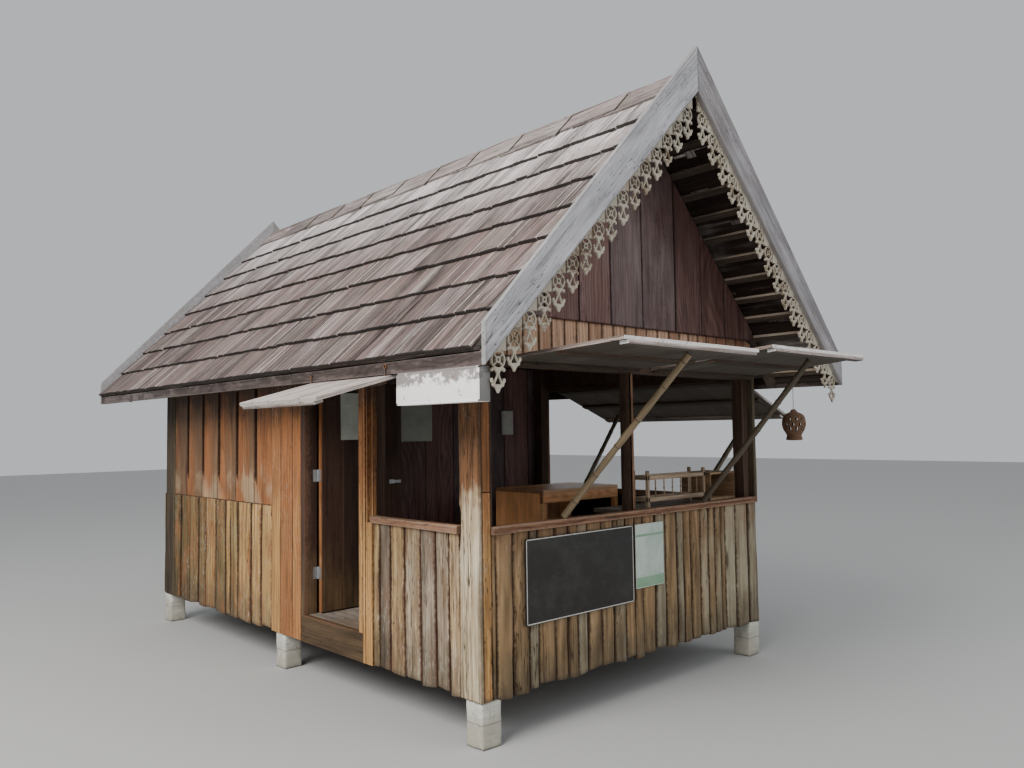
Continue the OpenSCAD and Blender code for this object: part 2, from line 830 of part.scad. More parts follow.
module flap_props() {
    color([0.65, 0.54, 0.37]) placed() {
        prop([flap_a_x + 515, sill_mid_y, sill_z], front_under(flap_a_x + 785, flap_rise_a),
             [0, sin(flap_rise_a), cos(flap_rise_a)]);
        prop([flap_b_x + 590, sill_mid_y, sill_z], front_under(flap_b_x + 770, flap_rise_b),
             [0, sin(flap_rise_b), cos(flap_rise_b)]);
        for (y = [[right_flap_y[0] + 370, right_flap_y[0] + 270],
                  [right_flap_y[1] - 370, right_flap_y[1] - 270]])
            prop([body_w - sill_mid_y, y[0], sill_z], right_under(y[1]),
                 [sin(right_flap_fall), 0, cos(right_flap_fall)]);
    }
}

// Iron hooks: a rod down the fascia's face with an eye at each end
module flap_hooks() {
    rod_r = 5;
    eye_r = 12;
    x = -fascia_out - rod_r - seat;
    run = -x - rod_r - fall_gap(left_flap_fall);
    foot_z = left_hinge_z - run * tan(left_flap_fall) + seat;
    top_z = fascia_top_z - 10 - 2 * eye_r;
    color([0.35, 0.33, 0.31]) placed()
        for (y = [left_flap_y[0] + 45, left_flap_y[1] - 30]) translate([x, y, 0]) {
            translate([0, 0, foot_z]) cylinder(r = rod_r, h = top_z - foot_z, $fn = 20);
            translate([0, 0, top_z + eye_r - 2]) rotate([0, 90, 0])
                rotate_extrude($fn = 32) translate([eye_r, 0]) circle(r = 4, $fn = 16);
        }
}

module sign_box() {
    top_z = fascia_z - seat;
    color([0.90, 0.86, 0.84]) placed()
        block([-fascia_out, -gable_out + 50, top_z - sign_h],
              [-fascia_out + sign_d, -gable_out + 50 + sign_l, top_z]);
}

module menu_board() {
    color([0.08, 0.08, 0.08]) placed()
        block([menu_x, -14, menu_z], [menu_x + menu_w, 0, menu_z + menu_h]);
}

module poster_board() {
    x = menu_x + menu_w + 33;
    z = menu_z + 77;
    color([0.80, 0.86, 0.80]) placed() block([x, -8, z], [x + poster_w, 0, z + poster_h]);
}

module counter() {
    board = 30;
    leg = 45;
    x1 = in_x1 - post_side - 2;
    y1 = counter_y + counter_d;
    top_z = counter_z - board;
    color([0.55, 0.32, 0.18]) placed() {
        block([counter_x, counter_y, top_z], [x1, y1, counter_z]);
        block([counter_x, counter_y + leg, floor_z], [counter_x + 20, y1, top_z]);
        block([counter_x, y1 - 20, floor_z], [x1, y1, top_z]);
        for (x = [counter_x, x1 - leg])
            block([x, counter_y, floor_z], [x + leg, counter_y + leg, top_z]);
        block([counter_x, counter_y, top_z - 80], [x1, counter_y + 22, top_z]);
    }
}

module inner_shelf() {
    x0 = mullion_x + mullion_w + seat;
    color([0.36, 0.26, 0.19]) placed()
        block([x0, in_y0 + seat, shelf_z - shelf_t],
              [in_x1 - post_side - seat, in_y0 + shelf_d, shelf_z]);
}

module cup_rack() {
    leg = 22;
    spindle_r = 5;
    rail = [[shelf_z + 45, shelf_z + 77], [shelf_z + 200, shelf_z + 230]];
    color([0.65, 0.55, 0.42]) placed()
        for (y = [rack_y, rack_y + rack_d - leg]) {
            for (x = [rack_x, rack_x + rack_w - leg])
                block([x, y, shelf_z], [x + leg, y + leg, shelf_z + rack_h]);
            for (r = rail)
                block([rack_x, y + 3, r[0]], [rack_x + rack_w, y + leg - 3, r[1]]);
        }
    color([0.65, 0.55, 0.42]) placed() {
        for (x = [rack_x, rack_x + rack_w - leg])
            for (r = rail)
                block([x + 3, rack_y, r[0]], [x + leg - 3, rack_y + rack_d, r[1]]);
        for (i = [1:6])
            translate([rack_x + i * rack_w / 7, rack_y + leg / 2, rail[0][0] + 5])
                cylinder(r = spindle_r, h = rail[1][0] - rail[0][0], $fn = 20);
    }
}

module corner_box() {
    board = 16;
    x1 = in_x1 - post_side - 4;
    y0 = rack_y + 60;
    y1 = in_y0 + shelf_d - 10;
    color([0.62, 0.38, 0.20]) placed() difference() {
        block([box_x, y0, shelf_z], [x1, y1, shelf_z + box_h]);
        block([box_x + board, y0 - 1, shelf_z + board],
              [x1 - board, y1 - board, shelf_z + box_h - board]);
    }
}

module notice_boards() {
    x0 = mid_x - 380;
    x1 = in_x1 - 395;
    z = floor_z + 1260;
    color([0.66, 0.68, 0.64]) placed() {
        block([x0, partition_y - 6, z], [x0 + 430, partition_y, z + 340]);
        block([x1 - 140, partition_y - 30, z + 45], [x1, partition_y, z + 280]);
    }
}

// Hanging pierced lantern: base, ball and neck on a wire hook
module lantern() {
    r = lantern_d / 2;
    wall = 7;
    x = body_w + fascia_out - fascia_t / 2;
    y = -120;
    z = 1690;
    top_z = fascia_z - seat;
    color([0.36, 0.25, 0.20]) placed() translate([x, y, z]) {
        difference() {
            rotate_extrude($fn = 48) difference() {
                polygon(concat([[0, 0], [r * 0.70, 0], [r * 0.66, 50]],
                    [for (a = [-50:20:50]) [r * cos(a), 145 + r * 0.95 * sin(a)]],
                    [[r * 0.30, 235], [r * 0.12, 262], [0, 262]]));
                polygon(concat([[0, wall], [r * 0.70 - wall, wall], [r * 0.66 - wall, 52]],
                    [for (a = [-50:20:50]) [(r - wall) * cos(a),
                                            145 + (r - wall) * 0.95 * sin(a)]],
                    [[r * 0.30 - wall, 228], [0, 232]]));
            }
            for (a = [0:60:300]) for (h = [110, 145, 180])
                rotate(a + h) translate([r * 0.55, 0, h]) rotate([0, 90, 0])
                    cylinder(r = 7, h = r * 0.6, $fn = 16);
        }
        translate([0, 0, 255]) cylinder(r = 3, h = top_z - z - 255, $fn = 16);
    }
}

piers();
floor_bearers();
floor_joists();
floor_deck();
wall_posts();
wall_plates();
front_low_wall();
left_low_wall();
left_slab_wall();
right_slab_wall();
back_slab_wall();
left_plank_wall();
left_jamb_boards();
right_plank_wall();
back_plank_wall();
left_head_boards();
right_head_boards();
corner_boards();
waney_board();
door_pier_board();
sills();
head_rails();
front_mullion();
door_frame();
door_leaf();
jamb_fittings();
leaf_fittings();
partition();
gable_planks_front();
gable_band();
gable_planks_back();
rafters();
battens_left();
battens_right();
shingles_left();
shingles_right();
ridge_cap();
fascias();
bargeboards_front();
bargeboards_back();
valance_left();
valance_right();
flap_front_left();
flap_front_right();
flap_left();
flap_right();
flap_props();
flap_hooks();
sign_box();
menu_board();
poster_board();
counter();
inner_shelf();
cup_rack();
corner_box();
notice_boards();
lantern();
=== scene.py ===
# %% [markdown]
# # A small timber kiosk, dressed board by board
# The frame of this kiosk comes from the construction model: every wall, rafter and flap has its
# place there. This lesson covers that frame with the things one sees on the real hut: split shingles,
# slabs with wavy edges, planks with dark joints, bamboo poles and a carved valance. It reads from
# the ground up, and each step first says what the real piece is.

import math
import random
from itertools import pairwise

import bmesh
import bpy
import numpy as np
from mathutils import Matrix, Vector, noise


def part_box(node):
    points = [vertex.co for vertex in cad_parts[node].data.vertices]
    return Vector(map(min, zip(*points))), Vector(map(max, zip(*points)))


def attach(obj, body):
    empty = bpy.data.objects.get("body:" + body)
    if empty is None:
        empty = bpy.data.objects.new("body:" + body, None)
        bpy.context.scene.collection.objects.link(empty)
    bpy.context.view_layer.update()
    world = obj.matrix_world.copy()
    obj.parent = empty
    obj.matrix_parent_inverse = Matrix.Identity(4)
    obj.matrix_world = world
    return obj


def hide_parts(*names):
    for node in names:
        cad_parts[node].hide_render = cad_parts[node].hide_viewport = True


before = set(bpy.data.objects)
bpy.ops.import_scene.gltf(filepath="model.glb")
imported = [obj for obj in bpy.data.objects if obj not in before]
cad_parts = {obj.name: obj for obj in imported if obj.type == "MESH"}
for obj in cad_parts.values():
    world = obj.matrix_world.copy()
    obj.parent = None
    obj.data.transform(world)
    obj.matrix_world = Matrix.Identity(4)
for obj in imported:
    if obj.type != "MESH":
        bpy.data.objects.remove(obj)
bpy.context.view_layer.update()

# %% [markdown]
# ## Where the hut's own zero lies
# A carpenter measures from a corner. Here zero is the front left corner of the walls on the ground,
# x runs along the front, y runs back along the door side and z goes up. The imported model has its
# origin elsewhere, so `site` adds the difference, which is read from two walls. The openings begin
# and end at the same places in several steps below, so these places have names.

# %% From the carpenter's corner to the scene
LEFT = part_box("back_slab_wall")[0].x
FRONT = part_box("front_low_wall")[0].y
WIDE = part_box("back_slab_wall")[1].x - LEFT
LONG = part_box("back_slab_wall")[1].y - FRONT
MID = WIDE / 2


def site(x, y, z):
    return Vector((LEFT + x, FRONT + y, z))


def reach(node):
    low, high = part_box(node)
    return [(low.x - LEFT, high.x - LEFT), (low.y - FRONT, high.y - FRONT), (low.z, high.z)]


X, Y, Z = Vector((1, 0, 0)), Vector((0, 1, 0)), Vector((0, 0, 1))
FULL_WAVE = 6.283
CORNER, WINDOW, DOORWAY, FRONT_END, POST = 0.085, (0.19, 1.105), (1.22, 2.065), 2.9, 0.13
HEAD_LOW, HEAD_TOP = 2.19, 2.25
print("walls", round(WIDE, 3), "by", round(LONG, 3))

# %% [markdown]
# ## The camera
# The viewpoint was worked out from the straight edges of the building in the photograph: a person's
# eye height, close to the front left corner, looking slightly up. Three angles give the three axes of
# a camera: turn, tilt and lean.

# %% Camera at the photograph's place
turn, tilt, lean = 0.745544, 0.056395, -0.013902
EYE = site(-3.09909, -3.6423, 1.8)
SENSOR, FOCAL_PIXELS, PICTURE_PIXELS = 36.0, 834.438, 1024
look = Vector((math.sin(turn) * math.cos(tilt), math.cos(turn) * math.cos(tilt), math.sin(tilt)))
level = Vector((math.cos(turn), -math.sin(turn), 0))
upward = level.cross(look)
right_axis = math.cos(lean) * level + math.sin(lean) * upward
up_axis = -math.sin(lean) * level + math.cos(lean) * upward

camera_data = bpy.data.cameras.new("camera")
camera_data.sensor_width = SENSOR
camera_data.lens = FOCAL_PIXELS / PICTURE_PIXELS * SENSOR
camera = bpy.data.objects.new("camera", camera_data)
bpy.context.scene.collection.objects.link(camera)
for row in range(3):
    for column, axis in enumerate((right_axis, up_axis, -look)):
        camera.matrix_world[row][column] = axis[row]
camera.matrix_world.translation = EYE
bpy.context.scene.camera = camera
print("camera at", tuple(round(c, 3) for c in camera.matrix_world.translation))

# %% [markdown]
# ## Floor and light
# The photograph was taken under a bright, cloudy sky, which lights the roof and both visible walls
# and leaves the room dark. One very large soft lamp from the front left stands in for the bright
# part of that sky, a weaker one fills the front, and a pale world does the rest.

# %% A pale floor, a pale world and two soft lamps
HALF_FLOOR = 40
floor_mesh = bpy.data.meshes.new("studio_floor")
floor_mesh.from_pydata([(x * HALF_FLOOR, y * HALF_FLOOR, 0) for x, y in ((-1, -1), (1, -1), (1, 1), (-1, 1))],
                       [], [(0, 1, 2, 3)])
floor = bpy.data.objects.new("studio_floor", floor_mesh)
bpy.context.scene.collection.objects.link(floor)
floor_finish = bpy.data.materials.new("studio_floor")
floor_finish.use_nodes = True
floor_look = floor_finish.node_tree.nodes["Principled BSDF"].inputs
floor_look["Base Color"].default_value = (0.46, 0.46, 0.45, 1)
floor_look["Roughness"].default_value = 0.9
floor_mesh.materials.append(floor_finish)

world = bpy.data.worlds.new("soft_sky")
bpy.context.scene.world = world
world.use_nodes = True
world_look = world.node_tree.nodes["Background"].inputs
world_look["Color"].default_value = (0.93, 0.96, 1.0, 1)
world_look["Strength"].default_value = 0.62


def soft_lamp(name, place, aim, size, power, colour):
    data = bpy.data.lights.new(name, "AREA")
    data.shape, data.size, data.energy, data.color = "SQUARE", size, power, colour
    lamp = bpy.data.objects.new(name, data)
    lamp.location = place
    lamp.rotation_euler = (Vector(aim) - Vector(place)).to_track_quat("-Z", "Y").to_euler()
    bpy.context.scene.collection.objects.link(lamp)


soft_lamp("sky_key", (-10, -3.5, 9), (0, 0, 1.5), 7, 1900, (1.0, 0.98, 0.95))
soft_lamp("front_fill", (4, -11, 6), (0, 0, 1.2), 6, 190, (0.95, 0.97, 1.0))

# %% [markdown]
# ## Wiring materials by hand
# Each finish below is a network of nodes. `Wiring` adds a node, fills or links its inputs and
# returns an output, so that a network reads like a formula. `blank` begins a finish and `settle`
# links colour, roughness and relief to its shader. `line` is slope times value plus offset, and
# `drawn` is noise drawn out along one direction.

# %% A small helper for node networks
class Wiring:
    def __init__(self, tree):
        self.tree, self.count = tree, 0

    def node(self, kind, values=None, **settings):
        made = self.tree.nodes.new(kind if kind.startswith("Node") else "ShaderNode" + kind)
        made.location = (self.count // 6 * 210, -(self.count % 6) * 240)
        self.count += 1
        for name, value in settings.items():
            setattr(made, name, value)
        for name, value in (values or {}).items():
            self.fill(made.inputs[name], value)
        return made

    def fill(self, socket, value):
        if isinstance(value, bpy.types.NodeSocket):
            self.tree.links.new(value, socket)
        elif socket.type == "RGBA" and len(value) == 3:
            socket.default_value = (*value, 1)
        else:
            socket.default_value = value

    def math(self, operation, a, b=0.0, c=0.0, clamp=False):
        return self.node("Math", {0: a, 1: b, 2: c}, operation=operation, use_clamp=clamp).outputs[0]

    def plus(self, a, b, clamp=False):
        return self.math("ADD", a, b, clamp=clamp)

    def minus(self, a, b):
        return self.math("SUBTRACT", a, b)

    def times(self, a, b):
        return self.math("MULTIPLY", a, b)

    def line(self, value, slope, offset):
        return self.math("MULTIPLY_ADD", value, slope, offset)

    def step(self, value, low, high, to_low=0.0, to_high=1.0):
        values = {"Value": value, "From Min": low, "From Max": high, "To Min": to_low, "To Max": to_high}
        return self.node("MapRange", values, interpolation_type="SMOOTHSTEP").outputs["Result"]

    def stretch(self, vector, factors):
        return self.node("VectorMath", {0: vector, 1: factors}, operation="MULTIPLY").outputs[0]

    def noise(self, vector, scale=1.0, detail=3.0, rough=0.55):
        values = {"Vector": vector, "Scale": scale, "Detail": detail, "Roughness": rough}
        return self.node("TexNoise", values).outputs["Fac"]

    def drawn(self, vector, factors, detail=3.0, rough=0.55):
        return self.noise(self.stretch(vector, factors), 1.0, detail, rough)

    def part(self, vector, axis):
        return self.node("SeparateXYZ", {0: vector}).outputs[axis]

    def stored(self, label, output="Fac"):
        return self.node("Attribute", attribute_name=label).outputs[output]

    def blend(self, share, a, b):
        made = self.node("Mix", data_type="RGBA")
        for socket, value in zip((made.inputs[0], made.inputs[6], made.inputs[7]), (share, a, b)):
            self.fill(socket, value)
        return made.outputs[2]


def new_group(name, inputs, outputs):
    tree = bpy.data.node_groups.new(name, "ShaderNodeTree")
    for label, kind, value in inputs:
        socket = tree.interface.new_socket(label, in_out="INPUT", socket_type="NodeSocket" + kind)
        if value is not None:
            socket.default_value = value
    for label in outputs:
        tree.interface.new_socket(label, in_out="OUTPUT", socket_type="NodeSocketFloat")
    wire = Wiring(tree)
    source = wire.node("NodeGroupInput")
    sink = wire.node("NodeGroupOutput")
    return tree, wire, source.outputs, sink.inputs


def blank(name):
    finish = bpy.data.materials.new(name)
    finish.use_nodes = True
    wire = Wiring(finish.node_tree)
    return finish, wire, wire.node("TexCoord").outputs["Object"]


def settle(finish, wire, colour, roughness, bump, depth, height, gloss=0.5, metal=0.0):
    raised = wire.node("Bump", {"Strength": bump, "Distance": depth, "Height": height}).outputs["Normal"]
    looks = {"Base Color": colour, "Roughness": roughness, "Normal": raised, "Specular IOR Level": gloss,
             "Metallic": metal}
    for name, value in looks.items():
        wire.fill(finish.node_tree.nodes["Principled BSDF"].inputs[name], value)
    return finish


def dim(colour, share):
    return tuple(c * share for c in colour)


# %% [markdown]
# ## Group 1: the figure of sawn timber
# Wood looks the way it does because growth rings are cut at a slant. The group takes a place in the
# board, with x along the grain. Rings are circles round a pith that wanders as x goes on, which
# draws long arches. Streaks, finer fibres and broad blotches are noise stretched along x, drying
# checks are thin lines where a stretched noise crosses its middle, and knots are a few dark spots.

# %% Shader group "Sawn timber"
timber_group, wire, given, wanted = new_group(
    "Sawn timber",
    [("Place", "Vector", None), ("Ring Width", "Float", 0.012), ("Check Width", "Float", 0.012),
     ("Knot Share", "Float", 0.25)],
    ["Figure", "Fibre", "Streaks", "Blotch", "Checks", "Knots", "Height"])
place = given["Place"]
drift = wire.drawn(place, (0.9, 3.0, 3.0), 2.0)
parts = wire.node("SeparateXYZ", {0: place})
side = wire.line(drift, 0.10, parts.outputs["Y"])
depth = wire.line(drift, 0.16, wire.minus(parts.outputs["Z"], 0.06))
radius = wire.math("SQRT", wire.plus(wire.math("POWER", side, 2.0), wire.math("POWER", depth, 2.0)))
knot_cells = wire.node("TexVoronoi", {"Vector": wire.stretch(place, (1.3, 5.0, 5.0)), "Scale": 1.0})
knot_number = wire.node("SeparateColor", {0: knot_cells.outputs["Color"]}).outputs[0]
knot_here = wire.math("LESS_THAN", knot_number, given["Knot Share"])
knot_near = wire.times(wire.step(knot_cells.outputs["Distance"], 0.30, 0.02), knot_here)
turns = wire.math("DIVIDE", wire.line(knot_near, 0.012, radius), given["Ring Width"])
rings = wire.line(wire.math("SINE", wire.times(turns, FULL_WAVE)), 0.5, 0.5)
streaks = wire.drawn(place, (1.3, 38.0, 38.0), 4.0, 0.6)
wire.fill(wanted["Figure"], wire.plus(wire.times(rings, 0.42), wire.times(streaks, 0.72), clamp=True))
fibre = wire.drawn(place, (7.0, 240.0, 240.0), 3.0, 0.6)
wire.fill(wanted["Fibre"], fibre)
wire.fill(wanted["Streaks"], wire.step(wire.drawn(place, (1.8, 75.0, 75.0), 4.0, 0.65), 0.30, 0.70))
wire.fill(wanted["Blotch"], wire.drawn(place, (2.4, 11.0, 11.0), 5.0, 0.6))
check_noise = wire.drawn(place, (2.6, 42.0, 42.0), 2.0)
check_line = wire.math("ABSOLUTE", wire.minus(check_noise, 0.5))
check_gate = wire.step(wire.drawn(place, (0.8, 6.0, 6.0), 1.0), 0.46, 0.60)
checks = wire.times(wire.step(check_line, given["Check Width"], 0.0), check_gate)
wire.fill(wanted["Checks"], checks)
knots = wire.times(wire.step(knot_cells.outputs["Distance"], 0.115, 0.05), knot_here)
wire.fill(wanted["Knots"], knots)
relief = wire.plus(wire.times(rings, 0.25), wire.times(fibre, 0.55))
wire.fill(wanted["Height"], wire.minus(relief, wire.times(checks, 1.3)))

# %% [markdown]
# ## Group 2: weather
# Rain and sun grey the wood in drifts, and old boards more than new ones. Water leaves dark runs
# along the grain, and where the surface has gone soft it breaks up in pale flecks. Drifts follow the
# place on the hut, runs and flecks follow the board.

# %% Shader group "Weather"
weather_group, wire, given, wanted = new_group(
    "Weather", [("Site", "Vector", None), ("Place", "Vector", None), ("Greying", "Float", 0.3)],
    ["Grey", "Runs", "Flecks"])
drifts = wire.noise(given["Site"], 2.3, 5.0, 0.6)
brushed = wire.drawn(given["Place"], (2.0, 26.0, 26.0), 4.0, 0.65)
mixed = wire.plus(wire.times(drifts, 0.55), wire.times(brushed, 0.45))
lifted = wire.plus(mixed, wire.minus(given["Greying"], 0.5))
wire.fill(wanted["Grey"], wire.step(lifted, 0.30, 0.68))
wire.fill(wanted["Runs"], wire.step(wire.drawn(given["Place"], (0.8, 15.0, 15.0)), 0.55, 0.74))
specks = wire.drawn(given["Place"], (16.0, 120.0, 120.0), 3.0, 0.7)
wire.fill(wanted["Flecks"], wire.times(wire.step(specks, 0.56, 0.66), wire.step(drifts, 0.42, 0.60)))

# %% [markdown]
# ## Group 3: bands by height
# Splashes from the ground darken the lowest boards, and under the eaves the wood stays dry and keeps its warm
# colour. Both are bands that begin at one height and are full at another, with an uneven edge. A patchy band
# leaves part of the wall as it was. The same bands also paint light: painted shade near the tops of the walls
# under the eaves and along the fascias' tops, and a painted sky reflection on the shingles, darker low and
# near-white high.

# %% Shader group "Height band"
band_group, wire, given, wanted = new_group(
    "Height band", [("Site", "Vector", None), ("Place", "Vector", None), ("From", "Float", 0.0),
                    ("To", "Float", 1.0), ("Patchy", "Float", 0.0)], ["Band"])
cloud = wire.noise(given["Site"], 5.0, 4.0, 0.6)
brush = wire.drawn(given["Place"], (1.5, 24.0, 24.0), 3.0)
uneven = wire.plus(wire.line(cloud, 0.5, -0.25), wire.line(brush, 0.36, -0.18))
edge = wire.plus(wire.part(given["Site"], "Z"), uneven)
gate = wire.step(wire.noise(given["Site"], 2.1, 3.0), 0.42, 0.60)
gate = wire.minus(1.0, wire.times(given["Patchy"], wire.minus(1.0, gate)))
wire.fill(wanted["Band"], wire.times(wire.step(edge, given["From"], given["To"]), gate))

# %% [markdown]
# ## Group 4: edges and cut ends
# Some edges are rubbed pale, others hold dirt or the last of the bark, and cut ends drink water and turn dark.
# Some finishes use the same bands for painted light: a painted highlight along one side of the shingles, painted
# shade on the bargeboards' arrises, and dark shingle butts that are end grain and partly painted shade. Each board
# made below stores how near each point is to an edge or an end, and the group breaks that band up with noise. The
# colour is up to the finish.

# %% Shader group "Broken edge"
edge_group, wire, given, wanted = new_group(
    "Broken edge", [("Near Edge", "Float", 0.0), ("Site", "Vector", None), ("Amount", "Float", 0.6),
                    ("Breaks", "Float", 1.3)], ["Edge"])
broken = wire.noise(given["Site"], 34.0, 4.0, 0.6)
band = wire.plus(given["Near Edge"], wire.times(wire.minus(broken, 0.5), given["Breaks"]))
wire.fill(wanted["Edge"], wire.times(wire.step(band, 0.25, 0.9), given["Amount"]))

# %% [markdown]
# ## One recipe for every wooden finish
# All the timber on the hut is mixed in the same way: late wood and early wood from the figure, a
# second hue on some boards, grey from the weather, marked edges, dark checks and knots. Boards made
# in this file carry their own place, tone, edges and ends as attributes. Pieces that come straight from
# the model have none, so for them the place is the object's own, turned so that x runs along them.

# %% The timber recipe
TURNS = {"x": ("X", "Y", "Z"), "y": ("Y", "X", "Z"), "z": ("Z", "X", "Y")}


def timber(name, late, early, second, grey=(0.36, 0.34, 0.32), edge=(0.10, 0.07, 0.05), greying=0.3,
           rough=0.78, gloss=0.25, ring=0.012, check=0.012, knots=0.22, edges=0.5, bands=(),
           bump=0.35, along=None, runs=0.45, streaks=0.3, spread=0.5, under=None, flecks=0.0,
           ends=(0.6, (0.07, 0.05, 0.035)), moss=None, stains=None):
    finish, wire, site_place = blank(name)
    if along:
        parts = wire.node("SeparateXYZ", {0: site_place})
        turned = dict(zip("XYZ", (parts.outputs[axis] for axis in TURNS[along])))
        place = wire.node("CombineXYZ", turned).outputs[0]
        tone, hue, age = wire.noise(site_place, 0.9, 1.0), wire.noise(site_place, 1.7, 2.0), 0.5
        marks = []
    else:
        place = wire.stored("grain", "Vector")
        board = wire.node("SeparateXYZ", {0: wire.stored("board", "Vector")})
        tone, hue, age = (board.outputs[axis] for axis in "XYZ")
        marks = [(wire.stored("near_edge"), edge, edges, 1.3), (wire.stored("cut_end"), ends[1], ends[0], 0.9)]
    wood = wire.node("Group", {"Place": place, "Ring Width": ring, "Check Width": check, "Knot Share": knots},
                     node_tree=timber_group).outputs
    sky = wire.node("Group", {"Site": site_place, "Place": place, "Greying": wire.line(age, 0.30, greying - 0.15)},
                    node_tree=weather_group).outputs

    def figured(shown):
        return wire.blend(wood["Figure"], dim(shown, 0.6), shown)

    colour = wire.blend(wood["Figure"], late, early)
    turned_hue = wire.plus(hue, wire.line(wood["Blotch"], 1.6, -0.8))
    colour = wire.blend(wire.step(turned_hue, 0.30, 0.95, 0.0, 0.8), colour, figured(second))
    colour = wire.blend(sky["Grey"], colour, grey)
    for low, high, shown, share, patchy in bands:
        values = {"Site": site_place, "Place": place, "From": low, "To": high, "Patchy": patchy}
        band = wire.node("Group", values, node_tree=band_group).outputs["Band"]
        colour = wire.blend(wire.times(band, share), colour, figured(shown))
    shade = wire.line(tone, spread, 0.80 - spread / 2)
    for lighter in (wire.times(wood["Fibre"], 0.30), wire.times(wire.minus(wood["Streaks"], 0.5), 2 * streaks),
                    wire.line(wood["Blotch"], 1.4, -0.7)):
        shade = wire.plus(shade, lighter)
    grey_shade = wire.node("CombineXYZ", dict.fromkeys("XYZ", shade)).outputs[0]
    colour = wire.node("VectorMath", {0: colour, 1: grey_shade}, operation="MULTIPLY").outputs[0]
    colour = wire.blend(wire.times(sky["Runs"], runs), colour, dim(late, 0.45))
    if stains:
        soaked = wire.drawn(place, (2.2, 13.0, 13.0), 6.0, 0.7)
        colour = wire.blend(wire.step(soaked, 0.47, 0.62, 0.0, stains[0]), colour, stains[1])
    if flecks:
        colour = wire.blend(wire.times(sky["Flecks"], flecks), colour, (0.66, 0.62, 0.55))
    if moss:
        grown = wire.step(wire.noise(site_place, 6.0, 6.0, 0.7), 0.56, 0.72, 0.0, 0.7)
        colour = wire.blend(grown, colour, moss)
    for mark, shown, amount, breaks in marks:
        values = {"Near Edge": mark, "Site": site_place, "Amount": amount, "Breaks": breaks}
        colour = wire.blend(wire.node("Group", values, node_tree=edge_group).outputs["Edge"], colour, shown)
    colour = wire.blend(wire.times(wood["Knots"], 0.8), colour, dim(late, 0.5))
    colour = wire.blend(wood["Checks"], colour, dim(late, 0.22))
    # Faces that look down are darkened towards the colour under: painted shade on undersides.
    if under:
        facing = wire.part(wire.node("NewGeometry").outputs["Normal"], "Z")
        colour = wire.blend(wire.step(facing, -0.15, -0.6, 0.0, 0.85), colour, under)
    roughness = wire.plus(rough, wire.times(wire.minus(wood["Fibre"], 0.5), 0.25), clamp=True)
    return settle(finish, wire, colour, roughness, bump, 0.004, wood["Height"], gloss)


# %% [markdown]
# ## The finishes of this hut
# The colours were judged against the photograph: orange-brown planks that the roof shelters, ochre
# and grey slabs near the ground, a dark red-brown gable, purple-grey shingles and silver-grey
# bargeboards. All values are linear.

# %% Timber finishes by name
BARK = (0.060, 0.034, 0.020)
SPLASH = (0.62, 0.32, (0.11, 0.09, 0.055), 0.6, 0)
# Near-black band at the tops of the walls under the eaves: painted shade.
EAVE_PAINTED_SHADE = (1.86, 2.20, (0.050, 0.030, 0.021), 0.88, 0)
UNDER_SILL = (0.96, 1.14, (0.25, 0.13, 0.068), 0.5, 0.6)
slab_wood = timber("slab_wood", (0.15, 0.090, 0.042), (0.36, 0.235, 0.120), (0.33, 0.30, 0.215),
                   grey=(0.36, 0.31, 0.215), greying=0.32, bands=[SPLASH, UNDER_SILL], check=0.024, knots=0.4,
                   ring=0.05, bump=0.6, edge=BARK, edges=0.95, streaks=0.17, spread=0.6, flecks=0.12, runs=0.6)
side_slab_wood = timber("side_slab_wood", (0.17, 0.088, 0.032), (0.47, 0.295, 0.118), (0.20, 0.150, 0.065),
                        grey=(0.48, 0.375, 0.23), greying=0.22, bands=[SPLASH], check=0.030, knots=0.45,
                        ring=0.045, bump=0.6, edge=BARK, edges=1.0, streaks=0.26, spread=0.9, flecks=0.4,
                        runs=0.8, stains=(0.75, (0.26, 0.105, 0.040)))
window_slab_wood = timber("window_slab_wood", (0.18, 0.105, 0.048), (0.46, 0.32, 0.155), (0.24, 0.19, 0.155),
                          grey=(0.46, 0.385, 0.285), greying=0.30, bands=[SPLASH], check=0.028, knots=0.4,
                          ring=0.045, bump=0.6, edge=(0.075, 0.034, 0.022), edges=1.0, streaks=0.26, spread=0.75,
                          flecks=0.4, runs=0.8, stains=(0.6, (0.17, 0.095, 0.055)))
jamb_wood = timber("jamb_wood", (0.20, 0.092, 0.030), (0.54, 0.30, 0.105), (0.28, 0.100, 0.036),
                   grey=(0.42, 0.30, 0.19), greying=0.18, knots=0.3, gloss=0.3, rough=0.68, flecks=0.25,
                   ring=0.025, edge=(0.05, 0.022, 0.012), edges=0.85, streaks=0.25,
                   bands=[(1.05, 1.50, (0.33, 0.125, 0.043), 0.85, 0), EAVE_PAINTED_SHADE])
upper_wood = timber("upper_wood", (0.135, 0.044, 0.016), (0.38, 0.150, 0.050), (0.165, 0.105, 0.058),
                    grey=(0.25, 0.165, 0.10), greying=0.16, knots=0.2, gloss=0.3, rough=0.66, runs=0.6, ring=0.02,
                    edge=(0.05, 0.022, 0.012), edges=0.85, streaks=0.25,
                    bands=[(1.52, 1.40, (0.46, 0.33, 0.20), 0.6, 1.0), EAVE_PAINTED_SHADE])
pale_wood = timber("pale_wood", (0.24, 0.165, 0.09), (0.58, 0.465, 0.31), (0.46, 0.36, 0.20),
                   grey=(0.58, 0.50, 0.385), greying=0.34, knots=0.8, check=0.036, bump=0.7, edge=BARK, edges=0.5,
                   streaks=0.36, flecks=0.6, ring=0.03,
                   bands=[(1.25, 0.55, (0.44, 0.36, 0.18), 0.7, 0.9), (1.34, 1.52, (0.20, 0.088, 0.037), 0.97, 0),
                          EAVE_PAINTED_SHADE])
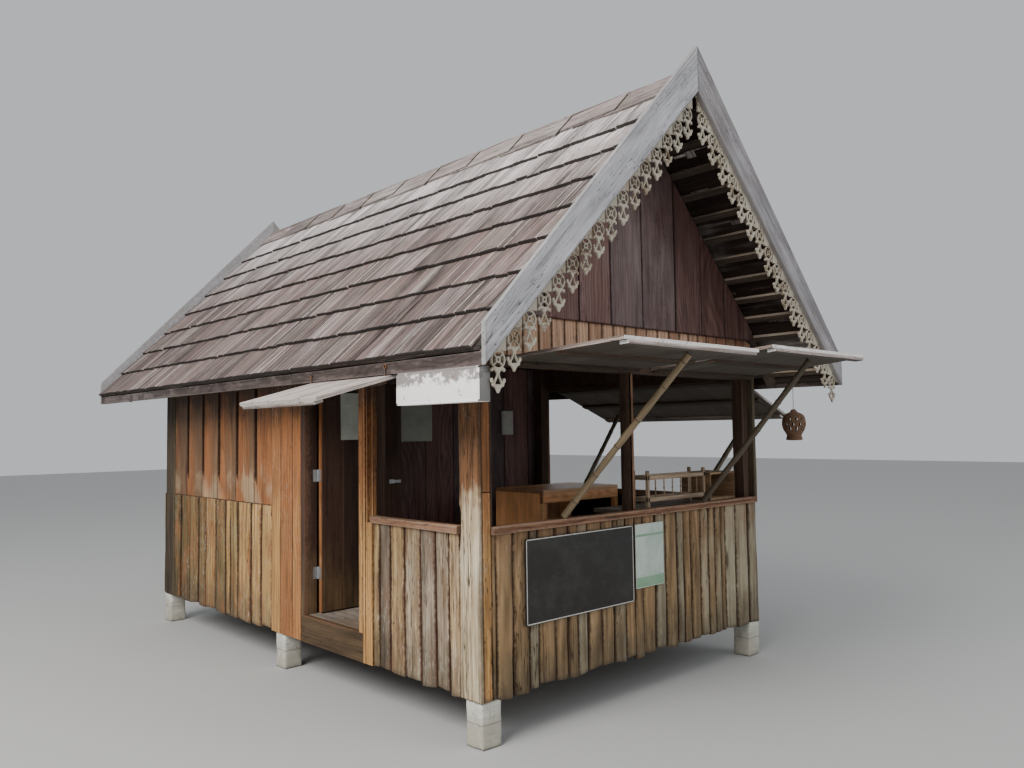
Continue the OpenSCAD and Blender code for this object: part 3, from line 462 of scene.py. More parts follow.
far_corner_wood = timber("far_corner_wood", (0.040, 0.026, 0.016), (0.105, 0.074, 0.046), (0.085, 0.078, 0.045),
                         grey=(0.15, 0.125, 0.085), greying=0.2, edges=0.5, edge=(0.16, 0.15, 0.085), streaks=0.2)
dark_wood = timber("dark_wood", (0.035, 0.019, 0.013), (0.095, 0.052, 0.034), (0.075, 0.050, 0.038),
                   grey=(0.12, 0.095, 0.08), greying=0.2, knots=0.1, edges=0.35, edge=(0.16, 0.10, 0.07))
gable_wood = timber("gable_wood", (0.080, 0.038, 0.032), (0.25, 0.135, 0.115), (0.19, 0.140, 0.135),
                    grey=(0.26, 0.205, 0.20), greying=0.26, knots=0.15, gloss=0.35, rough=0.62, edges=0.6,
                    edge=(0.02, 0.010, 0.008), streaks=0.2, ring=0.02)
# The dark edge colour on the bargeboards is painted shade, toning down their lit arrises.
grey_wood = timber("grey_wood", (0.25, 0.245, 0.25), (0.48, 0.475, 0.495), (0.36, 0.315, 0.315),
                   grey=(0.46, 0.455, 0.48), greying=0.55, knots=0.3, check=0.014, edges=0.7,
                   edge=(0.22, 0.21, 0.20), streaks=0.18, spread=0.4, runs=0.45)
# Shingle finish: the pale edge colour is a painted highlight along one side of each shingle, the near-black ends
# are end grain and partly painted shade under each butt, and the two height bands are a painted sky reflection,
# darker low and near-white high.
shingle_wood = timber("shingle_wood", (0.080, 0.052, 0.048), (0.25, 0.180, 0.165), (0.20, 0.165, 0.145),
                      grey=(0.40, 0.345, 0.33), greying=0.30, knots=0.04, check=0.016, edges=0.9,
                      edge=(0.60, 0.53, 0.49), bump=0.5, runs=0.6, streaks=0.5, spread=0.6,
                      ends=(0.95, (0.026, 0.022, 0.020)),
                      bands=[(3.0, 2.3, (0.12, 0.092, 0.084), 0.32, 0.3),
                             (3.0, 4.1, (0.88, 0.82, 0.81), 0.78, 0.25)])
sill_wood = timber("sill_wood", (0.12, 0.052, 0.028), (0.30, 0.155, 0.088), (0.23, 0.13, 0.08),
                   grey=(0.32, 0.23, 0.17), greying=0.3, edges=0.6, edge=(0.38, 0.25, 0.17), knots=0.1)
rack_wood = timber("rack_wood", (0.20, 0.135, 0.08), (0.40, 0.30, 0.20), (0.33, 0.23, 0.14), knots=0.05,
                   greying=0.1, edges=0.3, rough=0.55, gloss=0.4)
print("finishes", len(bpy.data.materials))

# %% [markdown]
# ## Making boards
# A hut like this is a few hundred boards, and no two are the same. `Boards` gathers many of them
# into one mesh. A board has a section, which is swept from one end to the other: its front corners
# are taken off, its edges may wander as the bark line does, and its face may be rounded like a slab
# cut from the outside of a log. Four attributes go with every point: `grain`, the place in the
# board in metres; `board`, one tone, hue and age for each board; `near_edge`, 1 at the arrises; and
# `cut_end`, 1 where the saw has cut across, fading over a stretch that water has crept up.

# %% The board maker
SHARP = 35


def sleeve(rows, n, cap=True):
    faces = [(k * n + i, k * n + (i + 1) % n, (k + 1) * n + (i + 1) % n, (k + 1) * n + i)
             for k in range(rows - 1) for i in range(n)]
    return faces + [tuple(range(n - 1, -1, -1)), tuple((rows - 1) * n + i for i in range(n))] * cap


class Boards:
    def __init__(self, seed):
        self.dice = random.Random(seed)
        self.points, self.faces = [], []
        self.grain, self.board, self.edge, self.end = [], [], [], []

    def ripple(self, places, amount):
        total = np.zeros(len(places))
        for share, wave in ((0.55, 1.3), (0.30, 0.47), (0.15, 0.19)):
            total += share * np.sin(places * FULL_WAVE / wave + self.dice.uniform(0, FULL_WAVE))
        return total * amount

    def section(self, thick, arris, crown, lap):
        if crown:
            u = np.linspace(0, 1, 9)
            off = np.abs(2 * u - 1)
            shift, drop, near = np.zeros(9), thick * crown * off ** 4, off ** 6
        else:
            u = np.array([0, 0, 0, 0, 0.5, 1, 1, 1, 1.0])
            shift = arris * np.array([0, 0.3, 1, 4, 0, -4, -1, -0.3, 0])
            drop = arris * np.array([1, 0.3, 0, 0, 0, 0, 0, 0.3, 1])
            near = np.array([0.8, 1, 0.8, 0, 0, 0, 0.8, 1, 0.8])
        low = 0.45 * thick if crown else 0.0
        ends = [(0, -lap, thick, 0), (0, -lap, thick - low, 0)], [(1, lap, thick - low, 0), (1, lap, thick, 0)]
        if not crown:
            ends = ends[0][:1], ends[1][1:]
        rows = ends[0] + list(zip(u, shift, drop, near)) + ends[1]
        return [np.array(column) for column in zip(*rows)]

    def keep(self, points, faces, grain, edge, manner, end=None, hues=None):
        base = len(self.points)
        start = [self.dice.uniform(0, 40) for _ in range(3)]
        tone, hue, age = manner or [self.dice.random() for _ in range(3)]
        self.points += [tuple(p) for p in points]
        self.grain += [(g[0] + start[0], g[1] + start[1], g[2] + start[2]) for g in grain]
        self.board += [(tone, h, age) for h in hues or [hue] * len(points)]
        self.edge += list(edge)
        self.end += list(end or [0.0] * len(points))
        self.faces += [tuple(base + i for i in face) for face in faces]

    def lay(self, corner, along, across, out, size, arris=0.003, crown=0.0, wane=0.0, swell=0.0, lap=0.0,
            steps=1, ragged=0.0, skew=0.0, manner=None, edge=(1.0, 1.0), weep=0.0):
        length, width, thick = size
        u, shift, drop, near = self.section(thick, arris, crown, lap)
        inner = np.linspace(weep or arris, length - arris, steps + 1)[1:-1]
        s = np.concatenate([[0, arris], [weep] if weep else [], inner, [length - arris, length]])
        left, right = self.ripple(s, wane), width + self.ripple(s, wane)
        thicker = 1 + self.ripple(s, swell)
        shifts = [self.dice.uniform(-1, 1) * r for r in (ragged, 0.0)]
        points, grain, edges, ends = [], [], [], []
        along, across, out = Vector(along), Vector(across), Vector(out)
        for k, place in enumerate(s):
            end = k in (0, len(s) - 1)
            slide, slant = (np.interp(place, [0, length], pair) for pair in (shifts, [skew, 0.0]))
            for i in range(len(u)):
                a = left[k] + (right[k] - left[k]) * u[i] + shift[i]
                t = max(0.0, thick - drop[i])
                if t:
                    t = max(0.0, t * thicker[k] - (arris if end else 0))
                run = place + slide + slant * (a - 0.5 * width)
                points.append(Vector(corner) + along * run + across * a + out * t)
                grain.append((run, a, t))
                edges.append(near[i] * edge[int(u[i] > 0.5)])
                ends.append(1.0 if end else 0.85 if weep and k == 1 else 0.0)
        self.keep(points, sleeve(len(s), len(u)), grain, edges, manner, ends)

    def cut(self, outline, corner, along, across, out, thick, arris=0.003, manner=None, hues=None):
        ring = [Vector(p) for p in outline]
        n = len(ring)
        if sum(a.x * b.y - b.x * a.y for a, b in zip(ring, ring[1:] + ring[:1])) < 0:
            ring.reverse()

        def inset(by):
            made = []
            for i in range(n):
                a, b = (ring[i] - ring[i - 1]).normalized(), (ring[(i + 1) % n] - ring[i]).normalized()
                inward = Vector((-a.y - b.y, a.x + b.x))
                made.append(ring[i] + inward * (by / max(0.3, 1 + a.dot(b))))
            return made

        rows = [(ring, 0, 0.8), (ring, thick - arris, 0.8), (inset(arris), thick, 0.9),
                (inset(5 * arris), thick, 0)]
        points, grain, edges = [], [], []
        along, across, out = Vector(along), Vector(across), Vector(out)
        for shape, t, near in rows:
            for p in shape:
                points.append(Vector(corner) + along * p.x + across * p.y + out * t)
                grain.append((p.x, p.y, t))
                edges.append(near)
        if hues:
            wide = max(p.y for p in ring)
            hues = [hues[0] + (hues[1] - hues[0]) * g[1] / wide for g in grain]
        self.keep(points, sleeve(len(rows), n), grain, edges, manner, hues=hues)

    def mesh(self, name, finish):
        made = bpy.data.meshes.new(name)
        made.from_pydata(self.points, [], self.faces)
        work = bmesh.new()
        work.from_mesh(made)
        bmesh.ops.recalc_face_normals(work, faces=work.faces)
        work.to_mesh(made)
        work.free()
        for label, kind, field, values in (("grain", "FLOAT_VECTOR", "vector", self.grain),
                                           ("board", "FLOAT_VECTOR", "vector", self.board),
                                           ("near_edge", "FLOAT", "value", self.edge),
                                           ("cut_end", "FLOAT", "value", self.end)):
            layer = made.attributes.new(label, kind, "POINT")
            layer.data.foreach_set(field, np.array(values, dtype=np.float32).ravel())
        made.materials.append(finish)
        made.shade_smooth()
        made.set_sharp_from_angle(angle=math.radians(SHARP))
        return made


def finish_mesh(work, name, sharp=40):
    mesh = bpy.data.meshes.new(name)
    bmesh.ops.recalc_face_normals(work, faces=work.faces)
    work.to_mesh(mesh)
    work.free()
    mesh.shade_smooth()
    if sharp:
        mesh.set_sharp_from_angle(angle=math.radians(sharp))
    return mesh


def pour(part, work):
    mesh = bpy.data.meshes.new("part")
    part.to_mesh(mesh)
    part.free()
    work.from_mesh(mesh)
    bpy.data.meshes.remove(mesh)


TRIANGLES = {}


def put(name, source, finish, slot, *nodes, body="building"):
    mesh = source.mesh(name, finish) if isinstance(source, Boards) else source
    if not isinstance(source, Boards) and finish:
        mesh.materials.append(finish)
    piece = bpy.data.objects.new(name, mesh)
    bpy.context.scene.collection.objects.link(piece)
    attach(piece, body)
    if nodes:
        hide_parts(*nodes)
    TRIANGLES[name] = sum(len(face.vertices) - 2 for face in mesh.polygons)
    print(name, TRIANGLES[name], "triangles")
    return piece


# %% [markdown]
# ## Lower walls of waney slabs
# The lower walls are slabs, the first cuts of a log: flat behind, rounded in front, with the edge
# left as the tree grew. They stand side by side and end raggedly above the piers. The joints of the
# front and the door side are where the photograph shows them, and the hidden sides repeat the same
# widths.

# %% Rows of slabs
FRONT_JOINTS = [0.085, 0.127, 0.263, 0.398, 0.465, 0.615, 0.73, 0.815, 0.912, 1.046, 1.164, 1.293, 1.388,
                1.473, 1.611, 1.731, 1.871, 1.945, 2.028, 2.16, 2.26, 2.345, 2.424, 2.477, 2.623, 2.801, 2.94]
SIDE_JOINTS = [0.19, 0.296, 0.427, 0.578, 0.751, 0.912, 1.03, 1.105]
SIDE_MANNERS = [(0.8, 0.1, 1.0), (0.5, 0.8, 0.9), (0.35, 1.0, 0.8), (0.6, 0.5, 0.9), (0.7, 0.0, 0.1),
                (0.1, 1.0, 0.6), (0.5, 0.1, 0.3)]
FRONT_MANNERS = [(0.3, 0.0, 0.1), (0.6, 0.1, 0.3), (0.35, 0.2, 0.3), (0.5, 0.9, 0.7), (0.3, 0.1, 0.2),
                 (0.55, 0.3, 0.6), (0.2, 0.0, 0.3), (0.7, 0.8, 0.6), (0.4, 0.2, 0.2), (0.6, 0.0, 0.5),
                 (0.3, 0.7, 0.4), (0.5, 0.1, 0.2), (0.2, 0.3, 0.6), (0.65, 0.2, 0.4), (0.4, 0.9, 0.5),
                 (0.5, 0.3, 0.5), (0.45, 0.8, 0.7), (0.6, 0.0, 0.1), (0.6, 0.1, 0.3), (0.85, 0.6, 0.8),
                 (0.6, 0.5, 0.6), (0.55, 0.6, 0.7), (0.3, 0.5, 0.5), (0.95, 1.0, 1.0), (0.75, 0.8, 0.8),
                 (0.55, 0.9, 0.8)]
DOOR_SIDE_MANNERS = [(0.95, 0.1, 0.8), (0.8, 0.0, 0.5), (0.7, 0.2, 0.6), (0.45, 0.6, 0.8), (0.75, 0.1, 0.2),
                     (0.4, 0.9, 0.5), (0.5, 0.3, 0.3), (0.3, 0.8, 0.6), (0.35, 0.7, 0.3), (0.15, 0.9, 0.4),
                     (0.05, 1.0, 0.2)]
DOOR_SIDE_JOINTS = [2.54, 2.735, 2.908, 3.164, 3.31, 3.397, 3.6, 3.824, 3.985, 4.189, 4.401, 4.57]


def spaced(start, end, widths, seed):
    dice, joints = random.Random(seed), [start]
    while joints[-1] < end - 1.6 * max(widths):
        joints.append(joints[-1] + dice.uniform(*widths))
    rest = max(1, round((end - joints[-1]) / (sum(widths) / 2)))
    return joints + [joints[-1] + (end - joints[-1]) * (i + 1) / rest for i in range(rest)]


def slab_row(boards, joints, start, end, back, across, out, thick, origin_of, wane=0.006, crown=(0.3, 0.6),
             manners=None, gaps=(0.001, 0.002, 0.003, 0.006)):
    for i, (a, b) in enumerate(pairwise(joints)):
        full = boards.dice.uniform(0.84, 1.0) * thick
        gap = boards.dice.choice(gaps)
        boards.lay(origin_of(a + gap, back, start), Z, across, out, (end - start, b - a - 2 * gap, full),
                   arris=0.005, crown=boards.dice.uniform(*crown), wane=wane, swell=0.06, lap=-0.001, steps=16,
                   ragged=0.014, skew=boards.dice.uniform(-0.16, 0.16), manner=manners and manners[i],
                   weep=0.05)


def on_front(a, back, z):
    return site(a, back, z)


def on_side(a, back, z):
    return site(back, a, z)


SKIRT, SLAB_TOP = reach("front_low_wall")[2]
WALL = 0.04

slabs = Boards(11)
slab_row(slabs, FRONT_JOINTS, SKIRT, SLAB_TOP, WALL, X, -Y, WALL, on_front, manners=FRONT_MANNERS)
put("front_slabs", slabs, slab_wood, "slab_wood", "front_low_wall")

slabs = Boards(12)
slab_row(slabs, SIDE_JOINTS, SKIRT, SLAB_TOP, WALL, Y, -X, WALL, on_side, crown=(0.15, 0.35), manners=SIDE_MANNERS,
         gaps=(0.002, 0.003, 0.005, 0.007))
put("window_slabs", slabs, window_slab_wood, "slab_wood", "left_low_wall")

SLAB_HIGH = reach("left_slab_wall")[2][1]
slabs = Boards(13)
slab_row(slabs, DOOR_SIDE_JOINTS, SKIRT, SLAB_HIGH, WALL, Y, -X, WALL, on_side, wane=0.009, crown=(0.15, 0.4),
         manners=DOOR_SIDE_MANNERS, gaps=(0.002, 0.004, 0.006, 0.009))
put("door_side_slabs", slabs, side_slab_wood, "slab_wood", "left_slab_wall")

OPEN_END = reach("sills")[1][1]
slabs = Boards(14)
joints = spaced(WALL, OPEN_END, (0.09, 0.15), 4)
slab_row(slabs, joints, SKIRT, SLAB_TOP, WIDE - WALL, Y, X, WALL, on_side)
joints = spaced(OPEN_END, LONG - WALL, (0.09, 0.16), 5)
slab_row(slabs, joints, SKIRT, SLAB_HIGH, WIDE - WALL, Y, X, WALL, on_side)
put("right_slabs", slabs, slab_wood, "slab_wood", "right_slab_wall")

slabs = Boards(15)
joints = spaced(0.0, WIDE, (0.09, 0.16), 6)
slab_row(slabs, joints, SKIRT, SLAB_HIGH, LONG - WALL, X, Y, WALL, on_front)
put("back_slabs", slabs, slab_wood, "slab_wood", "back_slab_wall")

# %% [markdown]
# ## Upper walls of wide planks
# Above the slabs the door side has wide orange planks with dark slots between them. A slot starts under the roof
# and stops in a slanted point above the slabs. Each plank is cut from its outline, with the slot taken out of one
# edge and a near-black board behind it, which paints the shade inside the slot. Across each plank the colour turns
# from grey-brown to orange, as heart and sapwood do.

# %% Planks with slots, and plain planks
_, (JAMB_END, BACK_CORNER), (PLANK_LOW, WALL_TOP) = reach("left_plank_wall")
SLOTS = [2.867, 3.217, 3.584, 3.929, 4.278]
PLANK_LOOKS = [(0.75, 0.0, 0.45), (0.7, 1.1, 0.0), (0.75, 1.1, 0.0), (0.65, 1.1, -0.1), (0.45, 1.2, 0.2),
               (0.2, 1.1, 0.5)]
PLANK, SLOT_STOP, SLOT_W = 0.028, 1.45, 0.046
planks = Boards(21)
high = WALL_TOP - PLANK_LOW
for i, (a, b) in enumerate(pairwise([JAMB_END] + SLOTS + [BACK_CORNER])):
    stop, width = SLOT_STOP - PLANK_LOW + 0.02 * (i % 2), b - a - 0.002
    outline = [(0, 0), (0, width), (high, width), (high, 0)]
    if i < len(SLOTS):
        outline[2:3] = [(stop, width), (stop - 0.06, width - SLOT_W), (high, width - SLOT_W)]
    tone, near_hue, far_hue = PLANK_LOOKS[i]
    planks.cut(outline, site(WALL - 0.006, a + 0.001, PLANK_LOW), Z, Y, -X, PLANK - 0.006,
               manner=(tone, 0.0, planks.dice.random()), hues=(near_hue, far_hue))
put("slotted_planks", planks, upper_wood, "orange_wood", "left_plank_wall")

# Near-black boards behind the slots, slab joints and gable joints: painted shade where the room behind is dark.
shade_backing_wood = timber("shade_backing_wood", (0.010, 0.006, 0.004), (0.022, 0.013, 0.009), (0.018, 0.012, 0.009))
backing = Boards(10)
foot = SKIRT + 0.02
for corner, across, out, high, width in (
        (site(WALL, JAMB_END, PLANK_LOW), Y, -X, WALL_TOP - PLANK_LOW, BACK_CORNER - JAMB_END),
        (site(WALL, WINDOW[0], foot), Y, -X, SLAB_TOP - foot, WINDOW[1] - WINDOW[0]),
        (site(WALL, JAMB_END, foot), Y, -X, SLAB_HIGH - foot, BACK_CORNER - JAMB_END),
        (site(CORNER, WALL, foot), X, -Y, SLAB_TOP - foot, WIDE - CORNER),
        (site(WIDE - WALL, WALL, foot), Y, X, SLAB_TOP - foot, LONG - 2 * WALL),
        (site(0, LONG - WALL, foot), X, Y, SLAB_HIGH - foot, WIDE)):
    backing.lay(corner, Z, across, out, (high, width, 0.006), arris=0.001)
put("shade_backing", backing, shade_backing_wood, "dark_wood")


def plank_row(boards, joints, start, end, back, across, out, thick, origin_of, wane=0.0012):
    gap = 0.003
    for a, b in pairwise(joints):
        boards.lay(origin_of(a + gap / 2, back, start), Z, across, out,
                   (end - start, b - a - gap, boards.dice.uniform(0.93, 1.0) * thick), arris=0.0025,
                   wane=wane, lap=gap / 2, steps=6, ragged=0.002)


planks = Boards(22)
plank_row(planks, [DOORWAY[1], 2.198, 2.389, JAMB_END], SKIRT, WALL_TOP, WALL, Y, -X, WALL, on_side, wane=0.003)
put("jamb_planks", planks, jamb_wood, "orange_wood", "left_jamb_boards")

planks = Boards(23)
plank_row(planks, spaced(OPEN_END, LONG - WALL, (0.17, 0.24), 7), PLANK_LOW, WALL_TOP, WIDE - WALL, Y, X,
          PLANK, on_side)
put("right_planks", planks, upper_wood, "orange_wood", "right_plank_wall")

planks = Boards(24)
plank_row(planks, spaced(WALL, WIDE - WALL, (0.17, 0.24), 8), PLANK_LOW, WALL_TOP, LONG - WALL, X, Y,
          PLANK, on_front)
put("back_planks", planks, upper_wood, "orange_wood", "back_plank_wall")

planks = Boards(25)
plank_row(planks, spaced(*WINDOW, (0.16, 0.22), 9), HEAD_TOP + 0.01, WALL_TOP, WALL, Y, -X, PLANK, on_side)
plank_row(planks, spaced(*DOORWAY, (0.16, 0.22), 10), HEAD_TOP, WALL_TOP, WALL, Y, -X, PLANK, on_side)
put("left_head_planks", planks, dark_wood, "dark_wood", "left_head_boards")

planks = Boards(26)
plank_row(planks, spaced(WALL, OPEN_END, (0.16, 0.22), 11), HEAD_TOP, WALL_TOP, WIDE - WALL, Y, X, PLANK,
          on_side)
put("right_head_planks", planks, dark_wood, "dark_wood", "right_head_boards")

# %% [markdown]
# ## Corner boards, posts and sills
# The front left corner is made of an orange board, jointed halfway up, and beside it one very wide
# pale board whose edge is still the outside of the tree: it bulges where a branch grew and carries
# a knot. Worn reddish sills lie on top of the low walls.

# %% Corner boards
PLANK_EDGE, HALFWAY = 0.016, 1.45
boards = Boards(31)
edge, strip = PLANK_EDGE + 0.003, 0.084 - PLANK_EDGE - 0.003
boards.lay(site(edge, WALL, SKIRT), Z, X, -Y, (HALFWAY - 0.002 - SKIRT, strip, WALL - 0.001), wane=0.0025, steps=8,
           ragged=0.006, manner=(0.55, 0.2, 0.7), weep=0.05)
boards.lay(site(edge, WALL, HALFWAY + 0.002), Z, X, -Y, (HEAD_TOP - HALFWAY - 0.002, strip, WALL - 0.003),
           wane=0.001, steps=3, manner=(0.25, 0.6, 0.2))
boards.lay(site(PLANK_EDGE, 0.042, SKIRT), Z, Y, X, (WALL_TOP - SKIRT, 0.146, WALL - PLANK_EDGE))
put("corner_planks", boards, jamb_wood, "orange_wood", "corner_boards")
boards = Boards(37)
boards.lay(site(FRONT_END, 0, 1.205), Z, Y, X, (HEAD_TOP - 1.205, POST, WALL), wane=0.001, steps=4)
boards.lay(site(WALL, BACK_CORNER + 0.002, SKIRT), Z, Y, -X, (WALL_TOP - SKIRT, 0.196, WALL - 0.002), wane=0.002,
           steps=6, ragged=0.005, manner=(0.0, 0.0, 0.0))
put("far_corner_planks", boards, far_corner_wood, "orange_wood", "corner_boards")

boards = Boards(32)
tall = WALL_TOP - SKIRT
far_edge = [(0, 0.188), (0.25, 0.190), (0.55, 0.186), (0.83, 0.190), (0.90, 0.178), (1.00, 0.170), (1.06, 0.172),
            (1.12, 0.188), (1.20, 0.184), (1.36, 0.183), (1.52, 0.188), (1.75, 0.188), (tall, 0.187)]
near_edge = [(tall, 0.003), (1.4, 0.002), (0.9, 0.001), (0.45, 0.004), (0.2, 0.001), (0, 0.002)]
boards.cut(far_edge + near_edge, site(PLANK_EDGE, 0, SKIRT), Z, Y, -X, PLANK_EDGE, arris=0.004,
           manner=(0.6, 0.25, 0.6))
put("waney_plank", boards, pale_wood, "pale_wood", "waney_board")

boards = Boards(33)
for a, b, low, high, thick, manner in (
        (WINDOW[1], DOORWAY[0], SKIRT, WALL_TOP, 0.008, (0.0, 0.0, 0.0)),
        (1.189, 1.219, SKIRT, WALL_TOP, WALL, (1.0, 0.1, 1.0)),
        (1.168, 1.184, SLAB_TOP, WALL_TOP, WALL - 0.006, (0.8, 0.1, 0.1)),
        (1.110, 1.130, SLAB_TOP, WALL_TOP, WALL - 0.014, (0.4, 0.3, 0.1)),
        (1.107, 1.186, SKIRT, SLAB_TOP, WALL - 0.002, (0.75, 0.2, 0.5))):
    boards.lay(site(WALL, a, low), Z, Y, -X, (high - low, b - a, thick), arris=0.0012, wane=0.0012, steps=6,
               manner=manner)
put("pier_planks", boards, jamb_wood, "orange_wood", "door_pier_board")

# %% Sills, head rails and mullion
boards = Boards(34)
sill_high = reach("sills")[2][1] - SLAB_TOP
for corner, along, out, length, steps, manner in (
        (site(CORNER, WALL, SLAB_TOP), X, -Y, FRONT_END - CORNER, 16, (0.2, 0.3, 0.3)),
        (site(WALL, WINDOW[0], SLAB_TOP), Y, -X, WINDOW[1] - WINDOW[0], 8, (1.0, 0.6, 0.8)),
        (site(FRONT_END, POST, SLAB_TOP), Y, X, OPEN_END - POST, 10, None)):
    boards.lay(corner, along, Z, out, (length, sill_high, 0.06), arris=0.005, wane=0.0015, steps=steps,
               manner=manner)
put("sill_rails", boards, sill_wood, "sill_wood", "sills")

boards = Boards(35)
for corner, along, out, size, steps, wane in (
        (site(CORNER, WALL, HEAD_LOW), X, -Y, (FRONT_END - CORNER, 0.06, WALL), 6, 0.001),
        (site(POST, POST, HEAD_LOW), X, -Y, (2.81 - POST, 0.23, 0.09), 4, 0.0),
        (site(WALL, WINDOW[0], HEAD_LOW + 0.01), Y, -X, (WINDOW[1] - WINDOW[0], 0.06, WALL), 4, 0.0),
        (site(FRONT_END, POST, HEAD_LOW), Y, X, (OPEN_END - POST, 0.06, WALL), 4, 0.0)):
    boards.lay(corner, along, Z, out, size, steps=steps, wane=wane)
put("head_rails_dressed", boards, dark_wood, "dark_wood", "head_rails")

boards = Boards(36)
(m0, m1), _, _ = reach("front_mullion")
floor_top = 0.46
boards.lay(site(m0 + 0.045, POST, floor_top), Z, X, -Y, (HEAD_LOW - floor_top, m1 - m0 - 0.07, 0.09), steps=4,
           manner=(0.2, 0.1, 0.0))
put("mullion_post", boards, dark_wood, "dark_wood", "front_mullion")
boards = Boards(38)
strip = 0.0247
boards.lay(site(m1 - strip, WALL + 0.045, 1.25), Z, X, -Y, (HEAD_LOW - 1.25, strip, 0.045), arris=0.0015, steps=4,
           manner=(0.3, 0.5, 0.5))
put("mullion_strip", boards, sill_wood, "sill_wood", "front_mullion")

# %% [markdown]
# ## Roof timbers and plain frame pieces
# Posts, plates, bearers, rafters and battens are straight sawn pieces whose shapes in the model are
# already right. They keep their solids and get a finish whose grain runs along them.

# %% Finishes for pieces that keep their shape
upright_wood = timber("upright_wood", (0.040, 0.022, 0.015), (0.110, 0.060, 0.038), (0.08, 0.05, 0.04), along="z",
                      grey=(0.13, 0.10, 0.08), greying=0.2)
lengthwise_wood = timber("lengthwise_wood", (0.070, 0.045, 0.032), (0.18, 0.125, 0.09), (0.13, 0.10, 0.08),
                         along="y", grey=(0.20, 0.17, 0.145), greying=0.35)
crosswise_wood = timber("crosswise_wood", (0.050, 0.034, 0.026), (0.135, 0.100, 0.076), (0.105, 0.080, 0.065),
                        along="x", grey=(0.13, 0.11, 0.095), greying=0.3)
# The battens' downward faces get a near-black under colour: painted shade, so only their thin lit faces stay pale.
batten_wood = timber("batten_wood", (0.29, 0.225, 0.165), (0.66, 0.54, 0.42), (0.48, 0.34, 0.22), along="y",
                     grey=(0.62, 0.54, 0.46), greying=0.4, under=(0.020, 0.014, 0.012))


def dress(finish, *nodes):
    for node in nodes:
        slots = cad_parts[node].data.materials
        if not len(slots):
            slots.append(finish)
        for i in range(len(slots)):
            slots[i] = finish


dress(upright_wood, "wall_posts", "door_frame")
dress(lengthwise_wood, "floor_bearers", "wall_plates")
dress(crosswise_wood, "floor_joists", "rafters")
dress(batten_wood, "battens_left", "battens_right")

# %% [markdown]
# ## Gable boards
# The gable is closed by wide dark planks, cut to the slope and laid with open joints, their tones lighter on the
# left and darker on the right as painted light and painted shade. A thin near-black sheet behind them keeps the
# light out of the joints and paints them in shade. Their lower ends lap over a band of narrow boards above the
# opening, which turn from pale to red-brown on the way to the right.

# %% Gable planks and the lighter band
PITCH = math.radians(45.75)
GABLE_LOW = reach("gable_planks_front")[2][0]
GABLE_JOINTS = [0.0, 0.235, 0.55, 0.867, 1.182, 1.524, 1.907, 2.234, 2.545, 2.75, 2.94]
# Tones per plank: the high tones on the left and low ones on the right are painted light from the left and painted
# shade under the barge.
GABLE_LOOKS_AND_SHADE = [(0.8, 0.6, 0.5), (0.8, 0.9, 0.8), (1.1, 0.2, 0.3), (1.1, 0.4, 0.3), (0.8, 0.9, 0.8),
               (0.6, 0.8, 0.7), (0.4, 0.4, 0.4), (0.4, 0.3, 0.3), (0.4, 0.4, 0.4), (0.4, 0.5, 0.4)]


def roof_height(x, below):
    return ridge_line - below / math.cos(PITCH) - abs(x - MID) * math.tan(PITCH)


gable_peak = reach("gable_planks_front")[2][1]
ridge_line = gable_peak + 0.075 / math.cos(PITCH)
print("ridge line", round(ridge_line, 4))


def gable(boards, joints, low, corner_y, out, thick, gap=0.006, looks=None):
    for i, (a, b) in enumerate(pairwise(joints)):
        a, b = a + gap / 2, b - gap / 2
        tops = [(x, roof_height(x, 0.078)) for x in ([a, MID, b] if a < MID < b else [a, b])]
        outline = [(low, a), (low, b)] + [(z, x) for x, z in reversed(tops)]
        full = boards.dice.uniform(0.85, 1.0) * thick
        boards.cut(outline, site(0, corner_y, 0), Z, X, out, full, manner=looks and looks[i])


planks = Boards(41)
gable(planks, GABLE_JOINTS, GABLE_LOW, 0.022, -Y, 0.022, gap=0.008, looks=GABLE_LOOKS_AND_SHADE)
put("gable_front_planks", planks, gable_wood, "gable_wood", "gable_planks_front")
planks = Boards(42)
gable(planks, spaced(0.0, WIDE, (0.26, 0.34), 12), reach("gable_planks_back")[2][0], LONG - 0.022, Y, 0.022)
put("gable_back_planks", planks, gable_wood, "gable_wood", "gable_planks_back")
gable_backing = Boards(46)
gable(gable_backing, [0.0, WIDE], GABLE_LOW, 0.0262, -Y, 0.004, gap=0.03)
gable(gable_backing, [0.0, WIDE], reach("gable_planks_back")[2][0], LONG - 0.0262, Y, 0.004, gap=0.03)
put("gable_backing", gable_backing, shade_backing_wood, "dark_wood")

band_wood = timber("band_wood", (0.36, 0.205, 0.125), (0.80, 0.53, 0.355), (0.34, 0.150, 0.090),
                   grey=(0.60, 0.46, 0.35), greying=0.2, knots=0.1, streaks=0.2, spread=0.6, edges=0.7,
                   edge=(0.12, 0.07, 0.045), ring=0.03)
planks = Boards(43)
band_top = reach("gable_band")[2][1]
for a, b in pairwise(spaced(0.0, WIDE, (0.11, 0.14), 13)):
    a, b = a + 0.0025, b - 0.0025
    tops = [(min(band_top, roof_height(x, 0.148)), x) for x in (b, a)]
    far = a / WIDE
    planks.cut([(HEAD_TOP, a), (HEAD_TOP, b)] + tops, site(0, WALL, 0), Z, X, -Y, 0.018, arris=0.004,
               manner=(1.0 - 0.7 * far, planks.dice.uniform(-0.2, 0.5) + 0.7 * far, 0.6 - 0.5 * far))
put("gable_band_planks", planks, band_wood, "orange_wood", "gable_band")

